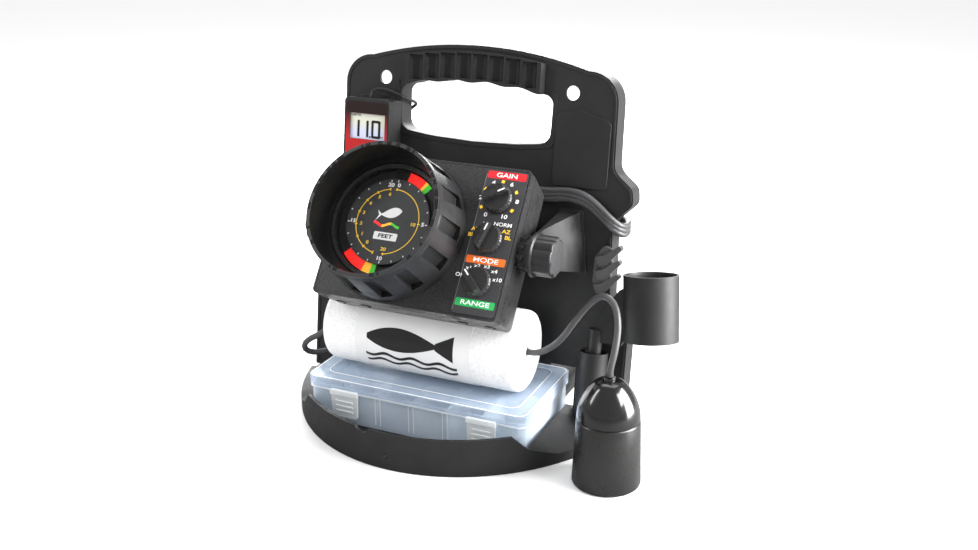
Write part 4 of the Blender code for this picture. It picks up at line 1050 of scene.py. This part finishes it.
def make_dial():
    at = tuple(DIAL)
    piece("window", cylinder(TURRET_IN - 0.4, TURRET_FRONT + 0.4, TURRET_FRONT + 1.9, 96, "Y", at),
          lens_clear, "head", ["display_lens"], HEAD, bevel=0)
    piece("dial_disc", cylinder(DIAL_R, DIAL_FRONT, DIAL_FRONT + 0.8, 96, "Y", at), dial_dark,
          "head", ["dial_plate"], HEAD, bevel=0.15)
    disc_y = DIAL_FRONT + 3.5
    profile = [(0, disc_y), (45.8, disc_y), (45.8, disc_y + 1.6), (6, disc_y + 1.6),
               (6, disc_y + 5), (1.5, disc_y + 5), (1.5, -22), (0, -22)]
    piece("spinner", lathe(profile, 96, "Y", at), window_dark, "flash_disc", ["flash_disc"], HEAD,
          bevel=0)
    bands = (("echo_red", flash_red, 10, 32), ("echo_amber", flash_amber, 32, 35.5),
             ("echo_green", flash_green, 35.5, 41.5), ("bottom_red", flash_red, 197, 227),
             ("bottom_amber", flash_amber, 187, 197), ("bottom_green", flash_green, 181, 187))
    for name, look, start, end in bands:
        band = arc_band(37.0, 45.6, start, end, disc_y - 0.25, disc_y - 0.05, DIAL)
        flat_print(name, band, look, "flash_disc")
    make_dial_print()


def make_dial_print():
    front = DIAL_FRONT - 0.06
    back = DIAL_FRONT + 0.05
    outer, unit = 36.4, 17.5
    ticks = []
    for k in range(21):
        reach = 1.4 if k % 5 else 2.0
        ticks.append(arc_band(outer - reach, outer, unit * k, unit * k + 1.2, front, back, DIAL))
    flat_print("outer_ticks", merged(ticks), white_ink_painted_glow)
    ring = [arc_band(27.9, 28.6, 2, 173, front, back, DIAL), arc_band(27.9, 28.6, 191, 350, front,
                                                                      back, DIAL)]
    inner_clocks = [212.6 + 22.9 * k for k in range(7)]
    for clock in inner_clocks:
        ring.append(arc_band(27.0, 29.5, clock - 0.9, clock + 0.9, front, back, DIAL))
    ring.append(arc_band(27.3, 29.6, 87.1, 88.9, front, back, DIAL))
    ring.append(arc_band(26.9, 29.6, 190, 192, front, back, DIAL))
    for clock in (2, 172):
        x, z = clock_point(DIAL, 28.25, clock)
        ring.append(cylinder(1.0, front, back, 16, "Y", (x, 0, z)))
    flat_print("inner_scale", merged(ring), amber_ink_painted_glow)
    for value, clock, radius in (("0", 3.5, 32), ("5", 88, 32.4), ("10", 177, 32.2),
                                 ("15", 264, 31.6), ("20", 350.5, 32)):
        spot = clock_point(DIAL, radius, clock)
        lettering(f"outer_{value}", value, 4.5, white_ink_painted_glow, spot, front, bold=0.03)
    for k, clock in enumerate(inner_clocks):
        spot = clock_point(DIAL, 23.8, clock)
        lettering(f"inner_{k}", str(k), 4.0, amber_ink_painted_glow, spot, front, 1.2)
    lettering("inner_10", "10", 4.0, amber_ink_painted_glow, (DIAL.x + 23.6, DIAL.z), front)
    lettering("inner_20", "20", 4.0, amber_ink_painted_glow, (DIAL.x + 3.2, DIAL.z - 24), front)
    emblem = fish_outline(11.0)
    shape = prism([(DIAL.x + x, DIAL.z + 7 + z + 0.25 * x) for x, z in emblem], front, back)
    flat_print("dial_fish", shape, white_ink_painted_glow)
    tag = box_corners(10.8, DIAL.z - 16.2, DIAL.z - 9.6, 0.8, DIAL.x + 1.8)
    flat_print("dial_tag", prism(rounded(tag, 4), front, back), white_ink_painted_glow)
    lettering("dial_unit", "FEET", 4.6, black_ink, (DIAL.x + 1.8, DIAL.z - 12.9), front - 0.08,
              1.4, bold=0.03)
    # The ripples are print on the dial, but the flash colours they use glow: a painted glow.
    for k, look in enumerate((flash_red, flash_amber, flash_green)):
        wave = []
        for step in range(9):
            x = 8.0 * k - 12 + step
            wave.append((DIAL.x + x, DIAL.z - 3 + 1.3 * math.sin(x / 2.4)))
        band = [(x, z + 1.1) for x, z in wave] + [(x, z - 1.1) for x, z in reversed(wave)]
        flat_print(f"dial_wave_{k + 1}", prism(band, front - 0.08, back), look)


def fish_outline(half_length):
    """A plain fish seen from the side: an almond body and a forked tail, nose at +x."""
    top = []
    for k in range(13):
        share = k / 12
        x = half_length * (1 - 1.62 * share)
        top.append((x, half_length * 0.36 * math.sin(math.pi * share ** 0.8) + 0.5))
    tail = [(-half_length, half_length * 0.42), (-half_length * 0.82, 0)]
    return top + tail + [(x, -z) for x, z in reversed(top + tail[:1])]


def make_controls():
    corners = box_corners(OVERLAY_HALF, HEAD_LOW + 3, HEAD_HIGH - 3, 2, OVERLAY_X)
    steps = []
    for z in CONTROL_Z.values():
        hole = cylinder(4.4, -26, -19, 24, "Y", (CONTROL_X, 0, z))
        steps.append(minus(hole))
    piece("overlay_film", prism(rounded(corners), OVERLAY_FRONT, -22.3), overlay_dark, "head",
          ["control_overlay"], HEAD, steps, bevel=0.1)
    front, back = OVERLAY_FRONT - 0.06, OVERLAY_FRONT + 0.05
    edge = OVERLAY_X - OVERLAY_HALF
    line = block(edge + 0.5, edge + 0.8, front, back, HEAD_LOW + 5, HEAD_HIGH - 7)
    flat_print("overlay_line", line, grey_ink)
    for word, look, z in (("GAIN", red_ink, 56.3), ("MODE", orange_ink, -17.3),
                          ("RANGE", green_ink, -53.6)):
        bar = rounded(box_corners(17.2, z - 3.2, z + 3.2, 1, OVERLAY_X), 4)
        flat_print(f"bar_{word.lower()}", prism(bar, front, back), look)
        lettering(f"word_{word.lower()}", word, 5.4, white_ink_painted_glow, (OVERLAY_X, z), front - 0.08, 1.45,
                  bold=0.012)
    centre = Vector((CONTROL_X, 0, CONTROL_Z["gain"]))
    for k in range(11):
        clock = -150 + 30 * k
        if k % 2:
            dash = arc_band(14.6, 17.0, clock - 5, clock + 5, front, back, centre)
            flat_print(f"gain_mark_{k}", dash, amber_ink_painted_glow)
        else:
            spot = clock_point(centre, 16.2, clock)
            lettering(f"gain_{k}", str(k), 4.8, white_ink_painted_glow, spot, front, 1.3)
    make_switch_print("mode", (("BL", amber_ink_painted_glow, -81, 16.3), ("AZ", amber_ink_painted_glow, -61, 15.6),
                               ("LP", white_ink_painted_glow, -24, 14.0), ("NORM", white_ink_painted_glow, 33, 16.6),
                               ("AZ", amber_ink_painted_glow, 58, 15.9), ("BL", amber_ink_painted_glow, 78, 16.5)), front)
    make_switch_print("range", (("OFF", white_ink_painted_glow, -74, 16.7), ("x1", white_ink_painted_glow, -43, 15.4),
                                ("x2", white_ink_painted_glow, -15, 14.4), ("x3", white_ink_painted_glow, 18, 15.2),
                                ("x4", white_ink_painted_glow, 47, 16.4), ("x10", white_ink_painted_glow, 74, 16.8)), front)
    for name, z in CONTROL_Z.items():
        make_knob(name, z)


def make_switch_print(name, marks, front):
    centre = Vector((CONTROL_X, 0, CONTROL_Z[name]))
    for k, (words, look, clock, radius) in enumerate(marks):
        spot = clock_point(centre, radius, clock)
        lettering(f"{name}_{k}", words, 4.5, look, spot, front, 1.2, bold=0.01)


def make_knob(name, z):
    at = (CONTROL_X, 0, z)
    low = OVERLAY_FRONT - GAP
    ribs = 24

    def fluted(radius, height, angle):
        if radius < KNOB_R - 0.01:
            return radius
        return radius - 0.35 * (0.5 + 0.5 * math.cos(ribs * angle))

    profile = [(0, low), (KNOB_R, low), (KNOB_R, low - 3), (KNOB_GRIP_R + 0.6, low - 4),
               (KNOB_GRIP_R, low - KNOB_HEIGHT + 0.8), (KNOB_GRIP_R - 0.8, low - KNOB_HEIGHT),
               (0, low - KNOB_HEIGHT)]
    turn = (Matrix.Translation(at) @ Matrix.Rotation(math.radians(POINTER[name]), 4, "Y")
            @ Matrix.Translation((-at[0], 0, -at[2])))
    shaft = cylinder(3.0, low - 2, -10, 24, "Y", at)
    scoop = block(CONTROL_X, CONTROL_X + 20, low - 20, low - KNOB_STEP, z - 20, z + 20)
    hollow = block(CONTROL_X - 4.6, CONTROL_X - 20, low - 20, low - KNOB_STEP - 1.5, z - 20,
                   z + 20)
    steps = [plus(shaft), minus(turned(scoop, turn)), minus(turned(hollow, turn))]
    piece(f"{name}_dial_knob", lathe(profile, 144, "Y", at, fluted), knob_black, f"{name}_knob",
          [f"{name}_knob"], HEAD, steps, bevel=0.5)
    top = low - KNOB_HEIGHT
    mark = block(CONTROL_X - 1.6, CONTROL_X - 0.5, top - 0.08, top + 0.1, z + 4, z + 10)
    flat_print(f"{name}_pointer", turned(mark, turn), white_ink_painted_glow, f"{name}_knob")


def make_clamps():
    low, high = 2.0, CLAMP_X[1] - CLAMP_X[0]
    for label, side in SIDES:

        def lobed(radius, height, angle):
            if radius < 14.5:
                return radius
            return radius + 1.6 * abs(math.sin(4 * angle)) - 0.7

        profile = [(0, low), (16.2, low), (16.2, high - 2.2), (15.2, high - 0.6), (13.8, high),
                   (0, high)]
        turn = Matrix.Translation((side * CLAMP_X[0], 0, 0))
        turn @= Matrix.Rotation(math.radians(90 * side), 4, "Y")
        grip = turned(lathe(profile, 128, "Z", (0, 0, 0), lobed), turn)
        flange = turned(lathe([(0, 0), (18.8, 0), (18.8, 2.2), (17.6, 3.4), (0, 3.4)], 96), turn)
        bore = turned(cylinder(4.2, -3, 13, 32), turn)
        steps = [plus(flange), minus(bore)]
        knob = piece(f"clamp_{label}", grip, clamp_black, f"clamp_knob_{label}",
                     [f"clamp_knob_{label}"], HEAD, steps, bevel=0.6)
        knob.data.materials.append(worn_grey)
        for face in knob.data.polygons:
            if face.normal.x * side > 0.95 and abs(face.center.x) > (CLAMP_X[1] - 0.5) * MM:
                face.material_index = 1


# ---------------------------------------------------------------- float, tray, transducer

def make_float():
    y, z = FLOAT_AXIS
    x0, x1 = FLOAT_X
    r = FLOAT_R
    profile = [(FLOAT_BORE, x0 + 1.0), (FLOAT_BORE + 1.5, x0), (r - 6, x0), (r - 3.4, x0 + 0.5),
               (r - 1.2, x0 + 2), (r - 0.25, x0 + 4.2), (r, x0 + 7), (r, x1 - 7),
               (r - 0.25, x1 - 4.2), (r - 1.2, x1 - 2), (r - 3.4, x1 - 0.5), (r - 6, x1),
               (FLOAT_BORE + 1.5, x1), (FLOAT_BORE, x1 - 1.0)]
    piece("foam_float", lathe(profile, 128, "X", (0, y, z)), foam_white, "pack", ["float_body"],
          WORLD, bevel=0)
    s0, s1 = SLEEVE_X
    sleeve = [(r + 0.3, s0), (r + 0.55, s0 + 0.2), (r + 0.55, s1 - 0.2), (r + 0.3, s1)]
    piece("float_wrap", lathe(sleeve, 128, "X", (0, y, z)), sleeve_white, "pack", ["float_sleeve"],
          WORLD, bevel=0)
    make_float_print()


def on_float(x, along, radius):
    """A point on the sleeve: along is the arc length down from the top of the front."""
    y, z = FLOAT_AXIS
    angle = math.radians(118) + along / FLOAT_R
    return x, y + radius * math.cos(angle), z + radius * math.sin(angle)


def wrapped_strip(rows):
    """A thin print on the float from (x, low, high) rows of arc length."""
    shape = bmesh.new()
    inner, outer = FLOAT_R + 0.5, FLOAT_R + 0.62
    grid = []
    for x, low, high in rows:
        line = []
        for k in range(9):
            along = low + (high - low) * k / 8
            line.append((shape.verts.new(on_float(x, along, inner)),
                         shape.verts.new(on_float(x, along, outer))))
        grid.append(line)
    for a, b in zip(grid, grid[1:]):
        for k in range(8):
            for layer in (0, 1):
                shape.faces.new((a[k][layer], b[k][layer], b[k + 1][layer], a[k + 1][layer]))
        for k in (0, 8):
            shape.faces.new((a[k][0], a[k][1], b[k][1], b[k][0]))
    for line in (grid[0], grid[-1]):
        for k in range(8):
            shape.faces.new((line[k][0], line[k][1], line[k + 1][1], line[k + 1][0]))
    return shape


def make_float_print():
    """A plain fish over two ripples, in black, round the front of the sleeve."""
    body = []
    for k in range(41):
        share = k / 40
        half = 10.5 * math.sin(math.pi * (0.04 + 0.92 * share) ** 0.85)
        body.append((-50 + 68 * share, 33 - half, 33 + half))
    flat_print("float_fish_body", wrapped_strip(body), black_ink, "pack", WORLD)
    tail = []
    for k in range(9):
        share = k / 8
        tail.append((16 + 17 * share, 33 - 3 - 8.5 * share, 33 + 3 + 8.5 * share))
    flat_print("float_fish_tail", wrapped_strip(tail), black_ink, "pack", WORLD)
    for row in range(2):
        ripple = []
        for k in range(81):
            x = -52 + 88 * k / 80
            middle = 49.5 + 6.5 * row + 1.8 * math.sin(x / 4.2 + row)
            ripple.append((x, middle - 1.5, middle + 1.5))
        flat_print(f"float_ripple_{row + 1}", wrapped_strip(ripple), black_ink, "pack", WORLD)


def tray_slab(half, y0, y1, z0, z1, radius):
    return slab(rounded(box_corners(half, y0, y1, radius), 8), z0, z1)


def lid_slab(margins, z0, z1, radius):
    """A slab set in from the lid's sides, front and back by the three margins."""
    sides, front, back = margins
    return tray_slab(LID_HALF - sides, LID_Y[0] + front, LID_Y[1] - back, z0, z1, radius)


def lid_line(name, margins, width, z0, z1, radii, bevel):
    """A bright closed line round the lid: a painted highlight where light gathers in a moulded
    edge.
    """
    inner = [margin + width for margin in margins]
    steps = [minus(lid_slab(inner, z0 - 2, z1 + 2, radii[1]))]
    line = lid_slab(margins, z0, z1, radii[0])
    piece(name, line, tray_edge_painted_highlight, "pack", (), WORLD, steps, bevel=bevel)


def make_tray():
    y0, y1 = TRAY_Y
    wall = TRAY_WALL
    middle = (y0 + y1) / 2
    inside = tray_slab(TRAY_HALF - wall, y0 + wall, y1 - wall, TRAY_Z + wall, 50, 5)
    steps = [minus(inside)]
    piece("tray_shell", tray_slab(TRAY_HALF, y0, y1, TRAY_Z, 40, 6), tray_clear, "pack",
          ["tray_body"], WORLD, steps, bevel=0.5)
    low, high = LID_Z
    steps = [minus(lid_slab([wall] * 3, low - 3, high - wall, 6)),
             minus(lid_slab((13, 14, 10), high - 0.5, high + 2, 9))]
    for side in (-1, 1):
        groove = block(-60, 60, -0.35, 0.35, high - 0.5, high + 1)
        steps.append(minus(turned(groove, Matrix.Translation((0, side * 40 - 16, 0)))))
    piece("lid_shell", tray_slab(LID_HALF, *LID_Y, low, high, 8), lid_clear_painted_shade, "pack", ["tray_lid"],
          WORLD, steps, bevel=0.8)
    lid_line("lid_rim_painted_highlight", (0.2, 0.2, 0.2), 1.2, low - 0.2, low + 1.2, (8, 7), 0.2)
    lid_line("lid_crest_painted_highlight", (1.0, 1.0, 1.0), 1.0, high - 0.3, high + 0.1, (8, 7), 0.1)
    lid_line("lid_bead_painted_highlight", (12, 13, 9), 0.8, high - 0.3, high + 0.2, (9, 8.4), 0.1)
    make_dividers(middle, high)
    for label, side in SIDES:
        make_latch(label, side * LATCH_X)


def make_dividers(middle, lid_top):
    """The wall along the tray, the fins across it, and their guides in the front and the lid."""
    front = TRAY_Y[0]
    reach = TRAY_HALF - TRAY_WALL - GAP
    low, high = TRAY_Z + TRAY_WALL + GAP, 38
    walls = block(-reach, reach, middle, middle + 1.2, low, high)
    steps = []
    for x in DIVIDERS:
        fin = block(x, x + 1.2, front + TRAY_WALL + GAP, middle + 0.6, low, high)
        steps.append(plus(fin))
    piece("divider_grid", walls, tray_clear, "pack", ["tray_dividers"], WORLD, steps, bevel=0.2)
    for k, x in enumerate(DIVIDERS):
        guide = []
        for offset in (-2.2, 2.6):
            guide.append(block(x + offset, x + offset + 1.0, front - 0.25, front + 0.4, 10, 35.5))
        guide.append(block(x - 2.6, x + 3.8, LID_Y[0] + 3, LID_Y[0] + 4, lid_top - 1.4,
                           lid_top - 0.2))
        piece(f"divider_guide_{k + 1}", merged(guide), tray_rib, "pack", (), WORLD, bevel=0.1)


def make_latch(label, x):
    front = LID_Y[0] - GAP
    plate = [(x + LATCH_HALF - 1, 13.5, 2), (x + LATCH_HALF, 39, 1), (x - LATCH_HALF, 39, 1),
             (x - LATCH_HALF + 1, 13.5, 2)]
    steps = [plus(block(x - LATCH_HALF, x + LATCH_HALF, front - 3.4, front - 1, 34.8, 39))]
    for k in range(3):
        z = 18.5 + 4.6 * k
        steps.append(plus(block(x - 8.5, x + 8.5, front - 2.6, front - 1.5, z, z + 1.5)))
    piece(f"latch_{label}", prism(rounded(plate, 5), front - 1.8, front), tray_rib,
          f"tray_latch_{label}", [f"tray_latch_{label}"], WORLD, steps, bevel=0.3)


def make_transducer():
    r, top_r = TRANSDUCER_R, TRANSDUCER_TOP_R
    profile = [(0, 0), (r - 1.6, 0), (r - 0.5, 0.5), (r, 1.8), (top_r + 0.1, SEAM_Z - 1.4),
               (top_r - 0.3, SEAM_Z - 0.5), (top_r - 1, SEAM_Z), (0, SEAM_Z)]
    piece("transducer_weight", lathe(profile, 128, "Z", TRANSDUCER), satin_grey, "pack",
          ["transducer_body"], WORLD, bevel=0)
    low = SEAM_Z + 0.3
    dome = [(0, low), (top_r - 1, low), (top_r - 0.2, low + 0.5)]
    for k in range(1, 33):
        share = k / 32
        swell = math.cos(share * math.pi / 2) ** 0.68
        dome.append((DOME_NECK_R + (top_r - DOME_NECK_R - 0.1) * swell,
                     low + (DOME_TOP - low) * share))
    dome += [(6.4, DOME_TOP + 0.5), (5.6, DOME_TOP), (5.3, DOME_TOP - 0.8), (4.7, DOME_TOP),
             (4.6, NIPPLE_TOP - 0.4), (4.2, NIPPLE_TOP), (0, NIPPLE_TOP)]
    piece("transducer_cap", lathe(dome, 128, "Z", TRANSDUCER), gloss_black, "pack",
          ["transducer_dome"], WORLD, bevel=0)


# ---------------------------------------------------------------- depth meter

def make_meter():
    x0, x1 = METER_X
    z0, z1 = METER_Z
    middle, half = (x0 + x1) / 2, (x1 - x0) / 2
    corners = box_corners(half, z0, z1, 4, middle)
    steps = [minus(prism(rounded(inset(corners, 2)), METER_FRONT - 2, -2.3)),
             minus(cylinder(2.1, z1 - 6, z1 + 4, 24, "Z", (-101, -10, 0)))]
    piece("meter_shell", prism(rounded(corners), METER_FRONT + 1, -0.3), meter_black, "pack",
          ["meter_case"], PANEL, steps, bevel=0.6)
    low, high = z0 + 17, z1 - 14
    window = (x0 + 6, x1 - 4.5, METER_FRONT - 3, METER_FRONT + 3, low, high)
    piece("meter_front", prism(rounded(corners), METER_FRONT - 0.8, METER_FRONT + 0.7), matt_black,
          "pack", ["meter_face"], PANEL, [minus(block(*window))], bevel=0.3)
    film = box_corners(half - 2.0, z0 + 1.5, z1 - 3.2, 3, middle)
    piece("meter_film_sheet", prism(rounded(film), METER_FRONT - 0.92, METER_FRONT - 0.7),
          meter_film, "pack", (), PANEL, [minus(block(*window))], bevel=0)
    screen = block(x0 + 4, x1 - 3, METER_FRONT + 1, METER_FRONT + 2.6, low - 2, high + 2)
    piece("meter_lcd_panel", screen, meter_lcd, "pack", ["meter_screen"], PANEL, bevel=0.1)
    make_digits(x0, low, high)


def make_digits(x0, low, high):
    """Seven-segment reading 11.0 on the meter's screen."""
    face = METER_FRONT + 1
    strokes = {"a": ((0.1, 1), (0.9, 1)), "b": ((1, 0.55), (1, 0.95)), "c": ((1, 0.05), (1, 0.45)),
               "d": ((0.1, 0), (0.9, 0)), "e": ((0, 0.05), (0, 0.45)), "f": ((0, 0.55), (0, 0.95))}
    width, height, thick = 7.0, 14.0, 1.15
    base = (low + high) / 2 - height / 2 - 2.2
    parts = []
    for start, lit in ((x0 + 7.2, "bc"), (x0 + 16.4, "bc"), (x0 + 28.6, "abcdef")):
        for key in lit:
            (ax, az), (bx, bz) = strokes[key]
            xa, xb = start + ax * width, start + bx * width
            za, zb = base + az * height, base + bz * height
            parts.append(block(xa - thick, xb + thick, face - 0.12, face, za - thick, zb + thick))
    parts.append(block(x0 + 25.3, x0 + 26.9, face - 0.12, face, base - 0.9, base + 0.7))
    flat_print("meter_digits", merged(parts), black_ink, "pack", PANEL)
    for name, word, spot in (("meter_word", "DEPTH", (x0 + 11.5, high - 1.8)),
                             ("meter_unit", "FT", (x0 + 38.2, low + 2.2))):
        lettering(name, word, 3.0, black_ink, spot, face - 0.06, 1.1, body="pack", at=PANEL)


def dress_the_rest():
    for label, _ in SIDES:
        dress(steel, f"case_screw_{label}", f"arm_screw_{label}_1", f"arm_screw_{label}_2",
              f"clamp_stud_{label}")
        dress(knob_black, f"tilt_ratchet_{label}")
    dress(steel, "display_motor", "gain_pot", "mode_switch", "range_switch")
    dress(case_black, "battery_box", bevel=0.6)
    dress(battery_grey, "battery", bevel=1.0)
    dress(webbing, "battery_strap", bevel=0.2)
    dress(knob_black, "power_socket", "transducer_socket", "transducer_plug", "head_gasket")
    dress(matt_black, "meter_lead", "meter_plug", bevel=0)
    dress(board_green, "main_board", bevel=0)
    dress(lens_clear, "flash_lamp", bevel=0)


make_camera()
make_cables()
make_studio()
make_case_panel()
make_base_pan()
for name, hand in SIDES:
    make_yoke_arm(name, hand)
make_line_comb()
make_rod_holder()
make_head()
make_hood()
make_dial()
make_controls()
make_clamps()
make_float()
make_tray()
make_transducer()
make_meter()
dress_the_rest()
